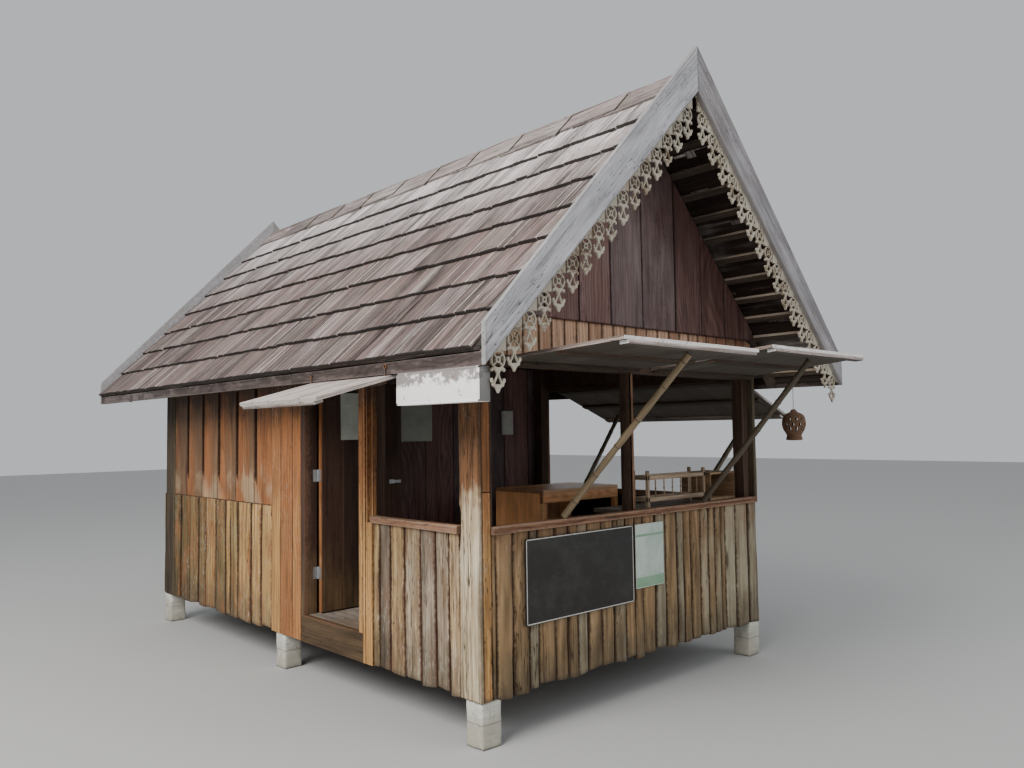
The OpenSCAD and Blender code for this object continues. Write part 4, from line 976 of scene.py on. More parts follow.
# %% [markdown]
# ## Shingles
# The roof is split shingles as long as a forearm, nailed in eight courses. Each one is tapered, so
# its thick lower end stands on the course below and throws the shadow line that marks the roof.
# Widths, lower ends and tones vary from piece to piece. A thin layer of sheeting below them closes the gaps, as
# the second layer does on a real roof; it is near-black, painted shade. The shingles' pale edges are a painted
# highlight, their dark butts are end grain and partly painted shade, and the roof is painted darker towards the
# eaves and near-white towards the ridge as a painted sky reflection.

# %% Shingles on both slopes
EAVE_U = (MID + 0.45) / math.cos(PITCH)
CAP_W = 0.27
COURSES = 8
EXPOSED = (EAVE_U - CAP_W) / COURSES
COVER = reach("shingles_left")[1]


def slope_axes(side):
    down = Vector((side * math.cos(PITCH), 0, -math.sin(PITCH)))
    off = Vector((side * math.sin(PITCH), 0, math.cos(PITCH)))
    return down, off


def slope_point(side, u, y, w):
    down, off = slope_axes(side)
    return site(MID, y, ridge_line) + down * u + off * w


def shingle_slope(side, seed):
    boards = Boards(seed)
    down, off = slope_axes(side)
    butt = 0.021
    lean = math.asin(butt / EXPOSED)
    up_slope = -down * math.cos(lean) - off * math.sin(lean)
    face = off * math.cos(lean) - down * math.sin(lean)
    for course in range(COURSES):
        u = EAVE_U - course * EXPOSED
        first = COVER[0] + (0.001 if course > 1 else 0.05)
        for a, b in pairwise(spaced(first, COVER[1] - 0.001, (0.07, 0.16), seed * 20 + course)):
            gap = boards.dice.uniform(0.001, 0.004)
            slip = boards.dice.uniform(-0.003, 0.012) if course else boards.dice.uniform(0.0, 0.008)
            thick = boards.dice.uniform(0.020, 0.024) if course else 0.018
            lift = boards.dice.uniform(-0.003, 0.001)
            start = slope_point(side, u - slip, a + gap / 2, 0) - face * thick + off * lift
            length = EXPOSED + 0.03 if course < COURSES - 1 else EXPOSED + 0.012
            # The pale edge chosen per shingle is a painted highlight; the dark butt with its 10 mm weep is partly
            # painted shade.
            boards.lay(start, up_slope, Y, face, (length, b - a - gap, thick), arris=0.0025, wane=0.0018,
                       steps=3, skew=boards.dice.uniform(-0.07, 0.07), weep=0.010,
                       edge=boards.dice.choice(((0, 0), (1, 0), (0.9, 0.2), (0, 1), (0, 0.6))))
    covered = COVER[1] - COVER[0]
    for a, b in pairwise(spaced(0.03, EAVE_U - 0.01, (0.18, 0.26), seed + 3)):
        sheeting.lay(slope_point(side, b - 0.002, COVER[0] + 0.002, -0.045), Y, -down, off,
                     (covered - 0.004, b - a - 0.002, 0.015), arris=0.001)
    sheeting.lay(slope_point(side, EAVE_U - 0.006, COVER[0] + 0.05, -0.034), Y, -down, off,
                 (covered - 0.052, 0.06, 0.012), arris=0.001)
    low = reach("fascias")[2][1] - 0.03
    out = reach("fascias")[0][1] - WIDE - 0.027
    sheeting.lay(site(MID + side * (MID + out - 0.012), COVER[0] + 0.05, low), Y, Z, side * X,
                 (covered - 0.052, roof_height(-out, 0.022) - low, 0.012), arris=0.001)
    return boards


# Near-black sheeting under the shingles and at the eave: painted shade.
shade_sheeting_wood = timber("shade_sheeting_wood", (0.018, 0.012, 0.010), (0.045, 0.030, 0.024), (0.034, 0.026, 0.022))
sheeting = Boards(54)
put("shingles_door_side", shingle_slope(-1, 51), shingle_wood, "shingle", "shingles_left")
put("shingles_far_side", shingle_slope(1, 52), shingle_wood, "shingle", "shingles_right")
put("roof_sheeting", sheeting, shade_sheeting_wood, "dark_wood", "shingles_left", "shingles_right")

# %% Lapped ridge boards
ridge_wood = timber("ridge_wood", (0.12, 0.088, 0.078), (0.38, 0.315, 0.30), (0.33, 0.29, 0.26),
                    grey=(0.50, 0.45, 0.44), greying=0.36, knots=0.05, edges=0.8, edge=(0.07, 0.06, 0.05),
                    bump=0.5, moss=(0.24, 0.215, 0.16), ends=(0.9, (0.05, 0.045, 0.03)))
boards = Boards(53)
count = int((COVER[1] - COVER[0]) / 0.56) + 1
step = (COVER[1] - COVER[0]) / count
for side in (-1, 1):
    down, off = slope_axes(side)
    for i in range(count):
        wide = boards.dice.uniform(0.235, 0.30)
        lapped = i < count - 1
        tilt = 0.011 / step * lapped
        along = (Y * math.cos(tilt) + off * math.sin(-tilt)).normalized()
        out = (off * math.cos(tilt) + Y * math.sin(tilt)).normalized()
        start = slope_point(side, wide, COVER[0] + i * step, -0.0330 + 0.0115 * lapped)
        boards.lay(start, along, -down, out, (step + 0.09 * lapped, wide - 0.002, 0.022), arris=0.0025, wane=0.002,
                   steps=4, skew=boards.dice.uniform(-0.02, 0.02), edge=(1, 0))
put("ridge_boards", boards, ridge_wood, "shingle", "ridge_cap")

# %% [markdown]
# ## Fascias, bargeboards and the valance
# The bargeboards are the palest thing on the roof: thick, silver-grey boards with both ends cut plumb, their
# arrises darkened as painted shade. The fascias along the eaves are darker, with dirt runs from the shingles and a
# painted shadow of the shingles along their top. The carved valance behind the front bargeboards comes after them,
# with old, flaking paint.

# %% Bargeboards and fascias
(FASCIA_X, _), FASCIA_Y, (FASCIA_LOW, FASCIA_TOP) = reach("fascias")
FASCIA_OUT = -FASCIA_X
_, (BARGE_Y, _), (_, PEAK) = reach("bargeboards_front")
PEAK_JOINT, BARGE_END = 0.306, 0.216
BARGE_RUN, BARGE_RISE = MID + FASCIA_OUT, PEAK - PEAK_JOINT - FASCIA_LOW
BARGE_ANGLE = math.atan2(BARGE_RISE, BARGE_RUN)


def barge_point(side, run, z, y):
    return site(MID + side * (BARGE_RUN - run), y, z)


def barge_pair(boards, y, out):
    cos, sin = math.cos(BARGE_ANGLE), math.sin(BARGE_ANGLE)
    length, n = math.hypot(BARGE_RUN, BARGE_RISE), 14
    low_w, high_w = BARGE_END * cos, PEAK_JOINT * cos
    for side in (-1, 1):
        along, across = Vector((-side * cos, 0, sin)), Vector((side * sin, 0, cos))
        outline = []
        for i in range(n + 1):
            outline.append((length * i / n, boards.dice.uniform(0, 0.0012) if 0 < i < n else 0))
        for i in range(n, -1, -1):
            worn = boards.dice.uniform(0, 0.0012) if 0 < i < n else 0
            w = low_w + (high_w - low_w) * i / n
            run = length * i / n + w * math.tan(BARGE_ANGLE) - (0.0006 if i == n else 0)
            outline.append((run, w - worn))
        boards.cut(outline, barge_point(side, 0.0, FASCIA_LOW, y), along, across, out, 0.03, arris=0.003,
                   manner=(0.7, 0.0, 0.9) if side < 0 else (0.15, 1.0, 0.2))


boards = Boards(61)
barge_pair(boards, BARGE_Y + 0.03, -Y)
put("barge_front", boards, grey_wood, "grey_wood", "bargeboards_front")
boards = Boards(62)
barge_pair(boards, reach("bargeboards_back")[1][1] - 0.03, Y)
put("barge_back", boards, grey_wood, "grey_wood", "bargeboards_back")

# The dark band along the fascias' top is painted shade from the shingles above.
fascia_wood = timber("fascia_wood", (0.050, 0.036, 0.033), (0.125, 0.094, 0.088), (0.10, 0.075, 0.068),
                     grey=(0.17, 0.14, 0.135), greying=0.36, edges=0.3, edge=(0.24, 0.20, 0.18), streaks=0.15,
                     spread=0.15, runs=0.25,
                     bands=[(FASCIA_TOP - 0.05, FASCIA_TOP - 0.01, (0.02, 0.015, 0.012), 0.5, 0)])
boards = Boards(63)
y0, y1 = FASCIA_Y
for x, out in ((-FASCIA_OUT + 0.025, -X), (WIDE + FASCIA_OUT - 0.025, X)):
    for a, b in pairwise([y0, y0 + 1.95, y0 + 4.05, y1]):
        boards.lay(site(x, a + 0.001, FASCIA_LOW), Y, Z, out, (b - a - 0.002, FASCIA_TOP - FASCIA_LOW, 0.025),
                   arris=0.003, wane=0.001, steps=10)
put("fascia_boards", boards, fascia_wood, "dark_wood", "fascias")

# %% [markdown]
# ## Old paint on the carving
# The valance was once painted cream. What is left is dusty, with brown rust and damp in the deeper
# parts. The recipe starts from a pale coat and lets grey wood and rust through where two noises meet.

# %% Flaking cream paint
def coated(name, coat, under, stain, wear, rough=0.75, metal=0.0, bump=0.25, scale=1.0, gloss=0.3):
    finish, wire, where = blank(name)
    broad = wire.noise(where, 5.0 * scale, 5.0, 0.65)
    fine = wire.noise(where, 60.0 * scale, 4.0, 0.7)
    mixed = wire.plus(wire.times(broad, 0.6), wire.times(fine, 0.4))
    bare = wire.step(mixed, 0.66 - 0.2 * wear, 0.72 - 0.2 * wear)
    runs = wire.drawn(where, (18.0 * scale, 18.0 * scale, 2.0 * scale), 4.0)
    colour = wire.blend(fine, dim(coat, 0.86), coat)
    colour = wire.blend(wire.step(runs, 0.52, 0.75, 0.0, 0.6), colour, stain)
    colour = wire.blend(bare, colour, under)
    roughness = wire.plus(rough, wire.times(bare, 0.12), clamp=True)
    relief = wire.plus(wire.times(fine, 0.4), wire.times(bare, -0.8))
    return settle(finish, wire, colour, roughness, bump, 0.002, relief, gloss, metal)


cream_paint = coated("cream_paint", (0.53, 0.48, 0.39), (0.26, 0.205, 0.145), (0.24, 0.125, 0.058), wear=0.75)

# %% [markdown]
# ## The carved valance
# The carver sawed each pendant from thin board: a ring of four petals in a loop, a pair of curls,
# a narrow neck that opens into two legs with curls of their own, and a pointed drop. It could be
# carved from a block or traced in metal, but a sawn board is what it is, so every pendant is one flat
# outline with its holes, filled and given the thickness of the board and softened edges. Small blocks
# over the rings and a strip close the corner up to the bargeboard.

# %% Pendants sawn from a board
PENDANTS, RING_DROP = 16, 0.080
PETAL_OUT, PETAL_IN, LINK, EYE_R = 40.0, 17.0, 3.6, 8
pendant_step = BARGE_RUN / (PENDANTS + 0.75)
UNIT = pendant_step / 112.5
HALF = [(0, 49), (15, 46), (28, 39), (39, 28), (46, 14), (49, -2), (46, -16), (40, -28), (31, -37), (36, -42),
        (44, -44), (48, -52), (45, -61), (37, -63), (36, -56), (29, -53), (22, -55), (15, -59), (9, -66),
        (7, -76), (10, -86), (15, -96), (20, -105), (25, -112), (31, -113), (36, -109), (36, -101), (40, -95),
        (46, -97), (49, -106), (45, -117), (36, -123), (39, -130), (33, -138), (23, -141), (15, -147),
        (9, -157), (4, -167), (0, -172)]
WEDGE = [(0, -75), (5, -87), (11, -100), (17, -111), (23, -121), (21, -127), (11, -129), (0, -125)]


def barge_low(x):
    return FASCIA_LOW + (x + FASCIA_OUT) * BARGE_RISE / BARGE_RUN


def softened(loop):
    made = []
    for (a, b), (c, d) in zip(loop, loop[1:] + loop[:1]):
        made += [(0.75 * a + 0.25 * c, 0.75 * b + 0.25 * d), (0.25 * a + 0.75 * c, 0.25 * b + 0.75 * d)]
    return made


def both_halves(half):
    return softened(half + [(-x, z) for x, z in reversed(half) if x])


def petal(middle):
    loop = []
    for radius, order in ((PETAL_OUT, 1), (PETAL_IN, -1)):
        reach_angle = math.pi / 4 - math.asin(LINK / radius)
        angles = [middle + order * reach_angle * (i / 4 - 1) for i in range(9)]
        loop += [(radius * math.cos(a), radius * math.sin(a) - 1) for a in angles]
    return loop


eye_loop = [(EYE_R * math.cos(math.pi / 6 * i), EYE_R * math.sin(math.pi / 6 * i) - 1) for i in range(12)]
PENDANT = [both_halves(HALF), both_halves(WEDGE), eye_loop] + [petal(math.pi / 2 * i) for i in range(4)]


def sawn_board(loops, thick, middle_y):
    curve = bpy.data.curves.new("sawn", "CURVE")
    curve.dimensions, curve.fill_mode = "2D", "BOTH"
    soft = 0.0008
    curve.extrude, curve.bevel_depth, curve.offset, curve.bevel_resolution = thick / 2 - soft, soft, -soft, 0
    for loop in loops:
        spline = curve.splines.new("POLY")
        spline.points.add(len(loop) - 1)
        for point, (x, z) in zip(spline.points, loop):
            point.co = (x, z, 0, 1)
        spline.use_cyclic_u = True
    holder = bpy.data.objects.new("sawn", curve)
    made = bpy.data.meshes.new_from_object(holder)
    bpy.data.objects.remove(holder)
    bpy.data.curves.remove(curve)
    made.transform(Matrix(((1, 0, 0, LEFT), (0, 0, -1, FRONT + middle_y), (0, 1, 0, 0), (0, 0, 0, 1))))
    return made


def valance(side, node):
    y0, y1 = reach(node)[1]
    across = (lambda x: x) if side < 0 else (lambda x: WIDE - x)
    pendants, blocks = [], []
    for i in range(1, PENDANTS + 1):
        x = -FASCIA_OUT + i * pendant_step
        z = barge_low(x) - RING_DROP
        pendants += [[(across(x + u * UNIT), z + v * UNIT) for u, v in loop] for loop in PENDANT]
        a, b = x - 6 * UNIT, x + 54 * UNIT
        blocks.append([(across(a), z + 46 * UNIT), (across(b), z + 46 * UNIT), (across(b), barge_low(b) + 0.008),
                       (across(a), barge_low(a) + 0.008)])
    a, b = -FASCIA_OUT + 0.027, MID
    strip = [[(across(x), barge_low(x) + z) for x, z in ((a, -0.002), (b, -0.002), (b, 0.020), (a, 0.020))]]
    work = bmesh.new()
    for loops, thinner in ((pendants, 0.0), (blocks, 0.0008), (strip, 0.0016)):
        part = sawn_board(loops, y1 - y0 - thinner, (y0 + y1) / 2)
        work.from_mesh(part)
        bpy.data.meshes.remove(part)
    put(node.replace("valance", "pendants"), finish_mesh(work, node, 30), cream_paint, "carved_wood", node)


valance(-1, "valance_left")
valance(1, "valance_right")

# %% [markdown]
# ## Flaps
# Three openings are closed at night by top-hung flaps of thin boards on ledges. By day they stand
# open: two over the front on bamboo props, one over the side window on iron hooks, a long one on
# the right. Each is laid in its own frame, out from its hinge edge.

# %% Flaps of boards and ledges
def flap_finish(name, end_grain):
    # The under colour paints shade on the flaps' undersides.
    return timber(name, (0.16, 0.115, 0.093), (0.40, 0.325, 0.285), (0.30, 0.235, 0.20), grey=(0.48, 0.42, 0.39),
                  greying=0.40, check=0.02, edges=0.4, edge=(0.15, 0.11, 0.09), bump=0.5,
                  under=(0.062, 0.053, 0.040), ends=(0.95, end_grain), streaks=0.35, spread=0.45)


flap_wood = flap_finish("flap_wood", (0.92, 0.89, 0.86))
window_flap_wood = flap_finish("window_flap_wood", (0.50, 0.46, 0.42))
# The ledges under the flaps get a darker copy of the flap wood: painted shade.
shaded_ledge_wood = timber("shaded_ledge_wood", (0.055, 0.036, 0.026), (0.14, 0.098, 0.074), (0.11, 0.075, 0.055),
                    grey=(0.17, 0.14, 0.12), greying=0.3, under=(0.050, 0.041, 0.030),
                    ends=(0.5, (0.17, 0.10, 0.07)))
LEDGES, LEDGE_W, LEDGE_INSET = 3, 0.06, 0.03


def flap(name, seed, origin, along, across, out, length, width, node, board_w=0.155, manner=None,
         finish=flap_wood):
    boards, ledge_boards, thick = Boards(seed), Boards(seed + 10), 0.022
    back = Vector(origin) - out * thick
    n = round(width / board_w)
    for i in range(n):
        short = boards.dice.uniform(0.0, 0.006)
        boards.lay(back + across * (i * width / n + 0.001), along, across, out,
                   (length - short, width / n - 0.002, thick - 0.0005), arris=0.0025, wane=0.001, lap=0.0008,
                   steps=4, manner=manner)
    for i in range(LEDGES):
        free = i == LEDGES - 1
        start = back + along * (i * (length - LEDGE_W) / (LEDGES - 1) + 0.001) + across * LEDGE_INSET
        (boards if free else ledge_boards).lay(
            start, across, along, -out, (width - 2 * LEDGE_INSET, LEDGE_W - 0.002, thick), arris=0.003, wane=0.001,
            steps=6, manner=(0.9, 0.1, 1.0) if free else None)
    put(name, boards, finish, "grey_wood", node)
    put(name + "_ledges", ledge_boards, shaded_ledge_wood, "dark_wood", node)


def rise(degrees):
    a = math.radians(degrees)
    return Vector((0, -math.cos(a), math.sin(a))), X, Vector((0, math.sin(a), math.cos(a)))


def fall(radians, side):
    cos, sin = math.cos(radians), math.sin(radians)
    return Vector((side * cos, 0, -sin)), side * Y, Vector((side * sin, 0, cos))


SEAT, HINGE_Z, WINDOW_HINGE_Z = 0.0003, 2.235, 2.233
for label, seed, x, degrees in (("left", 71, 0.165, 2.7), ("right", 72, 1.6, 5.0)):
    flap("front_flap_" + label, seed, site(x, -SEAT, HINGE_Z), *rise(degrees), 0.95, 1.275, "flap_front_" + label)

slope = math.atan((WINDOW_HINGE_Z - FASCIA_LOW + 0.010) / FASCIA_OUT)
flap("window_flap", 73, site(-SEAT - 0.044 * math.sin(slope), 1.19, WINDOW_HINGE_Z), *fall(slope, -1), 0.91, 0.91,
     "flap_left", board_w=0.18, manner=(1.0, 0.1, 1.0), finish=window_flap_wood)
slope = math.radians(21.4)
flap("side_flap", 74, site(WIDE + SEAT + 0.044 * math.sin(slope), 0.15, 2.215), *fall(slope, 1), 0.822, 2.1,
     "flap_right", board_w=0.15)

# %% [markdown]
# ## Bamboo poles
# The open flaps lean on poles cut from bamboo. A pole is a tube whose rings stand a little proud
# every hand or two, and it is never quite straight. The poles of the model give the places: their
# vertices are sorted into loose parts, and the longest direction of each part is a pole's axis.

# %% Reading the poles' axes from the model
def loose_parts(node):
    work = bmesh.new()
    work.from_mesh(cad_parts[node].data)
    bmesh.ops.remove_doubles(work, verts=work.verts, dist=1e-5)
    seen, parts = set(), []
    for start in work.verts:
        if start in seen:
            continue
        queue, part = [start], []
        seen.add(start)
        while queue:
            vert = queue.pop()
            part.append(vert.co.copy())
            for edge in vert.link_edges:
                other = edge.other_vert(vert)
                if other not in seen:
                    seen.add(other)
                    queue.append(other)
        parts.append(np.array(part))
    work.free()
    return parts


def long_axis(points):
    middle = points.mean(axis=0)
    axis = np.linalg.svd(points - middle)[2][0]
    axis = axis if axis[2] > 0 else -axis
    runs = (points - middle) @ axis
    return Vector(middle + axis * runs.min()), Vector(middle + axis * runs.max())


poles = sorted((long_axis(part) for part in loose_parts("flap_props")), key=lambda ends: ends[0].x)
for foot, head in poles:
    print("pole", [round(c, 3) for c in foot], "to", [round(c, 3) for c in head])


# %% Bamboo with rings
class Tubes(Boards):
    def tube(self, foot, head, radius_at, sides=20, rings=60, bend=0.0, manner=None, cap=True):
        foot, head = Vector(foot), Vector(head)
        axis = (head - foot).normalized()
        one = axis.orthogonal().normalized()
        two = axis.cross(one)
        length = (head - foot).length
        lean = self.dice.uniform(0, FULL_WAVE)
        points, grain, edges = [], [], []
        for k in range(rings + 1):
            s = length * k / rings
            off = (one * math.cos(lean) + two * math.sin(lean)) * bend * math.sin(math.pi * k / rings)
            radius, near = radius_at(s)
            for i in range(sides):
                a = math.tau * i / sides
                points.append(foot + axis * s + off + (one * math.cos(a) + two * math.sin(a)) * radius)
                grain.append((s, 0.05 * math.cos(a), 0.05 * math.sin(a)))
                edges.append(near)
        ends = [float(k in (0, rings)) for k in range(rings + 1) for _ in range(sides)]
        self.keep(points, sleeve(rings + 1, sides, cap), grain, edges, manner, ends)


bamboo_wood = timber("bamboo_wood", (0.17, 0.115, 0.06), (0.35, 0.26, 0.145), (0.070, 0.052, 0.038),
                     grey=(0.33, 0.28, 0.21), greying=0.3, knots=0.02, check=0.008, edges=0.9,
                     edge=(0.10, 0.065, 0.035), rough=0.55, gloss=0.5, bump=0.2, ring=0.03)
props = Tubes(81)
manners = [(0.4, 0.3, 0.2), (0.1, 1.0, 0.3), (0.3, 0.8, 0.5), (0.3, 0.8, 0.5)]
for (foot, head), manner in zip(poles, manners):
    start = props.dice.uniform(0.05, 0.2)
    gaps = [props.dice.uniform(0.17, 0.27) for _ in range(12)]
    rings_at = [start + sum(gaps[:i]) for i in range(12)]

    def bamboo(s):
        off = min(abs(s - r) for r in rings_at)
        swell = math.exp(-(off / 0.006) ** 2)
        return 0.0208 + 0.0030 * swell + 0.0008 * math.sin(s * 31), min(1.0, 1.3 * math.exp(-(off / 0.004) ** 2))

    length = (head - foot).length
    props.tube(foot, head, bamboo, rings=int(length / 0.004), sides=18, bend=0.002, manner=manner)
put("bamboo_poles", props, bamboo_wood, "bamboo", "flap_props")

# %% [markdown]
# ## Iron and steel
# Rusty hooks hold the side flap, and the door hangs on two galvanised butt hinges. Their shapes are
# already true in the model, so they only need finishes: rust that eats through a dark coat, and a
# dull zinc with scratches.

# %% Metal finishes
rusty_iron = coated("rusty_iron", (0.10, 0.085, 0.075), (0.20, 0.085, 0.035), (0.12, 0.05, 0.025), wear=0.9,
                    rough=0.6, metal=0.4, scale=6.0, bump=0.5)
zinc = coated("zinc", (0.46, 0.465, 0.47), (0.26, 0.26, 0.26), (0.24, 0.17, 0.11), wear=0.1, rough=0.38,
              metal=0.85, scale=8.0, bump=0.15)
dress(rusty_iron, "flap_hooks")
dress(zinc, "jamb_fittings", "leaf_fittings")

# %% [markdown]
# ## Concrete piers
# Six short piers carry the floor, cast in two lifts with a joint halfway. Their arrises are knocked
# off and their faces have air holes and splashes. Each is a cube cut into a fine grid, whose points
# are pushed inwards by noise, most of all along the edges.

# %% Piers with broken edges
PIER, LIFT_JOINT = 0.15, 0.15


def worn_block(target, low, high, cuts, chip, seed):
    work = bmesh.new()
    bmesh.ops.create_cube(work, size=1.0)
    bmesh.ops.subdivide_edges(work, edges=list(work.edges), cuts=cuts, use_grid_fill=True)
    low, high = Vector(low), Vector(high)
    middle, size = (low + high) / 2, high - low
    for vert in work.verts:
        unit = vert.co.copy()
        place = Vector(middle[i] + unit[i] * size[i] for i in range(3))
        near = [max(0.0, 1 - (0.5 - abs(unit[i])) * size[i] / (3.2 * chip)) for i in range(3)]
        ranked = sorted(near)
        rough = noise.noise(place * 21 + Vector((seed, 0, 0))) * 0.5 + 0.5
        deep = noise.noise(place * 7 + Vector((0, seed, 0))) * 0.5 + 0.5
        bite = chip * (0.25 + 1.6 * max(0, deep - 0.45) + 0.5 * rough) * ranked[1] ** 2
        flat = 0.002 * noise.noise(place * 9)
        inward = Vector(-math.copysign(near[i], unit[i]) for i in range(3))
        vert.co = place + (inward.normalized() * (bite + 0.002 + flat) if inward.length > 0 else Vector())
    pour(work, target)


concrete, wire, where = blank("concrete")
cloudy = wire.noise(where, 6.0, 6.0, 0.65)
sandy = wire.noise(where, 130.0, 3.0, 0.7)
pits = wire.step(wire.node("TexVoronoi", {"Vector": where, "Scale": 60.0}).outputs["Distance"], 0.16, 0.08)
pushed = wire.node("TexNoise", {"Vector": where, "Scale": 9.0}).outputs["Color"]
bent = wire.node("VectorMath", {0: where, 1: pushed}, operation="ADD").outputs[0]
cells = wire.node("TexVoronoi", {"Vector": bent, "Scale": 5.0}, feature="DISTANCE_TO_EDGE").outputs["Distance"]
cracks = wire.times(wire.step(cells, 0.018, 0.0), wire.step(cloudy, 0.45, 0.6))
splash = wire.node("Group", {"Site": where, "Place": where, "From": 0.34, "To": 0.02}, node_tree=band_group)
lift = wire.math("ABSOLUTE", wire.minus(wire.line(cloudy, 0.02, wire.part(where, "Z")), LIFT_JOINT))
cracks = wire.math("MAXIMUM", cracks, wire.step(lift, 0.006, 0.001, 0.0, 0.6))
colour = wire.blend(cloudy, (0.56, 0.56, 0.48), (0.86, 0.86, 0.77))
for share, shown in ((wire.times(sandy, 0.35), (0.34, 0.32, 0.28)),
                     (wire.times(splash.outputs["Band"], 0.55), (0.22, 0.17, 0.11)),
                     (wire.math("MAXIMUM", pits, cracks), (0.16, 0.14, 0.12))):
    colour = wire.blend(share, colour, shown)
relief = wire.minus(wire.times(sandy, 0.6), wire.plus(pits, cracks))
settle(concrete, wire, colour, wire.line(sandy, 0.2, 0.75), 0.5, 0.004, relief)

work = bmesh.new()
pier_x, pier_y, pier_z = reach("piers")
for column, x in enumerate((pier_x[0], pier_x[1] - PIER)):
    for row, y in enumerate((pier_y[0], (LONG - PIER) / 2, pier_y[1] - PIER)):
        worn_block(work, site(x, y, 0), site(x + PIER, y + PIER, pier_z[1]), 16, 0.009, 3 * column + row)
put("cast_piers", finish_mesh(work, "cast_piers", sharp=None), concrete, "concrete", "piers")

# %% [markdown]
# ## Floor, partition and door
# Inside, the floor is planks laid along the hut and the partition is dark planks a foot wide. The
# door is three or four dark boards on a frame of stiles and rails. It stands open into the room, so
# the passer-by sees its board side.

# %% Floor planks and partition
deck_wood = timber("deck_wood", (0.12, 0.08, 0.055), (0.28, 0.20, 0.14), (0.20, 0.16, 0.125),
                   grey=(0.30, 0.26, 0.22), greying=0.4, knots=0.15, rough=0.7)
boards = Boards(91)
(d0, d1), (e0, e1), (deck_low, FLOOR) = reach("floor_deck")
for a, b in pairwise(spaced(d0, d1, (0.13, 0.15), 14)):
    cut_at = boards.dice.uniform(1.6, 3.0)
    for s0, s1 in ((e0, cut_at), (cut_at, e1)):
        boards.lay(site(b - 0.001, s0 + 0.001, deck_low), Y, -X, Z,
                   (s1 - s0 - 0.002, b - a - 0.002, FLOOR - deck_low), arris=0.002, steps=4, wane=0.0006)
put("floor_planks", boards, deck_wood, "deck_wood", "floor_deck")

boards = Boards(92)
(p0, p1), (q0, q1), (r0, r1) = reach("partition")
for a, b in pairwise([p0] + [p0 + 0.13 + 0.32 * i for i in range(9)] + [p1]):
    thick = (q1 - q0) * boards.dice.uniform(0.86, 1)
    boards.lay(site(a + 0.002, q1, r0), Z, X, -Y, (r1 - r0, b - a - 0.004, thick), arris=0.0035, lap=0.0019,
               steps=4, wane=0.001)
put("partition_planks", boards, gable_wood, "gable_wood", "partition")

# %% Door leaf and its frame
door_wood = timber("door_wood", (0.028, 0.013, 0.009), (0.080, 0.037, 0.023), (0.055, 0.030, 0.021),
                   grey=(0.11, 0.065, 0.045), greying=0.2, knots=0.1, edges=0.5, edge=(0.17, 0.085, 0.05),
                   rough=0.6, streaks=0.2, bands=[(1.0, 0.55, (0.15, 0.095, 0.045), 0.7, 0)])
boards = Boards(93)
(x0, x1), (y0, y1), (z0, z1) = reach("door_leaf")
lipping = Boards(101)
lipping.lay(site(x0, y0 + 0.0001, z0), Z, Y, X, (z1 - z0, y1 - y0 - 0.0002, 0.005), arris=0.0008, steps=4,
            manner=(0.4, 0.9, 0.1))
put("door_lipping", lipping, jamb_wood, "orange_wood", "door_leaf", body="door")
x0 += 0.005
for i in range(4):
    wide = (x1 - x0) / 4
    boards.lay(site(x0 + i * wide + 0.001, y0 + 0.018, z0), Z, X, -Y, (z1 - z0, wide - 0.002, 0.018), arris=0.002,
               lap=0.0009, steps=4)
stile, rail_y = 0.09, y0 + 0.0181
for x in (x0, x1 - stile):
    boards.lay(site(x, rail_y, z0), Z, X, Y, (z1 - z0, stile, 0.0199), arris=0.002, steps=3)
for z in (z0, (z0 + z1 - stile) / 2, z1 - stile):
    boards.lay(site(x0 + stile + 0.0005, rail_y, z), X, Z, Y, (x1 - x0 - 2 * stile - 0.001, stile, 0.0189),
               arris=0.002, steps=3)
put("door_boards", boards, door_wood, "dark_wood", "door_leaf", body="door")

boards = Boards(94)
(x0, x1), (y0, y1), (z0, z1) = reach("door_frame")
jamb, deep = 0.05, 0.105
DOOR_TOP = z1 - jamb
boards.lay(site(deep, y1 - jamb, FLOOR), Z, Y, -X, (DOOR_TOP - FLOOR, jamb, deep), arris=0.003, steps=4)
boards.lay(site(deep, y0, DOOR_TOP), Y, Z, -X, (y1 - y0, jamb, deep), arris=0.003, steps=4)
boards.lay(site(WALL, y0, z0), Y, Z, -X, (y1 - y0, FLOOR - z0, WALL), arris=0.003, wane=0.001, steps=6)
put("door_jambs", boards, door_wood, "dark_wood", "door_frame")
boards = Boards(100)
boards.lay(site(deep, y0, FLOOR), Z, Y, -X, (DOOR_TOP - FLOOR, jamb, deep), arris=0.002, steps=4,
           manner=(0.8, 0.2, 0.9))
put("door_post", boards, jamb_wood, "orange_wood", "door_frame")

# %% [markdown]
# ## Counter, shelf, rack and box
# Behind the sills stand an orange counter with a closed left end, a dark shelf, a small rack with
# turned spindles for cups and an open box. They are plain joinery, so boards do for all of them,
# and the spindles are tubes whose radius follows a turner's profile.

# %% Counter and inner shelf
counter_wood = timber("counter_wood", (0.70, 0.27, 0.105), (0.98, 0.52, 0.23), (0.84, 0.48, 0.25),
                      grey=(0.72, 0.50, 0.33), greying=0.16, knots=0.02, gloss=0.45, rough=0.42, streaks=0.08,
                      edge=(0.70, 0.42, 0.20), edges=0.7, spread=0.25, runs=0.2, check=0.004)
boards = Boards(95)
(x0, x1), (y0, y1), (z0, z1) = reach("counter")
top, end_board, counter_leg = 0.03, 0.02, 0.045
under_top = z1 - top
for i in range(3):
    wide = (y1 - y0) / 3
    boards.lay(site(x0, y0 + (i + 1) * wide - 0.001, under_top), X, -Y, Z, (x1 - x0, wide - 0.0015, top),
               arris=0.003)
for i in range(2):
    wide = (y1 - y0 - counter_leg) / 2
    boards.lay(site(x0 + end_board, y0 + counter_leg + i * wide + 0.0003, z0), Z, Y, -X,
               (under_top - z0, wide - 0.0006, end_board), arris=0.0008, manner=(0.5 + 0.1 * i, 0.3, 0.3))
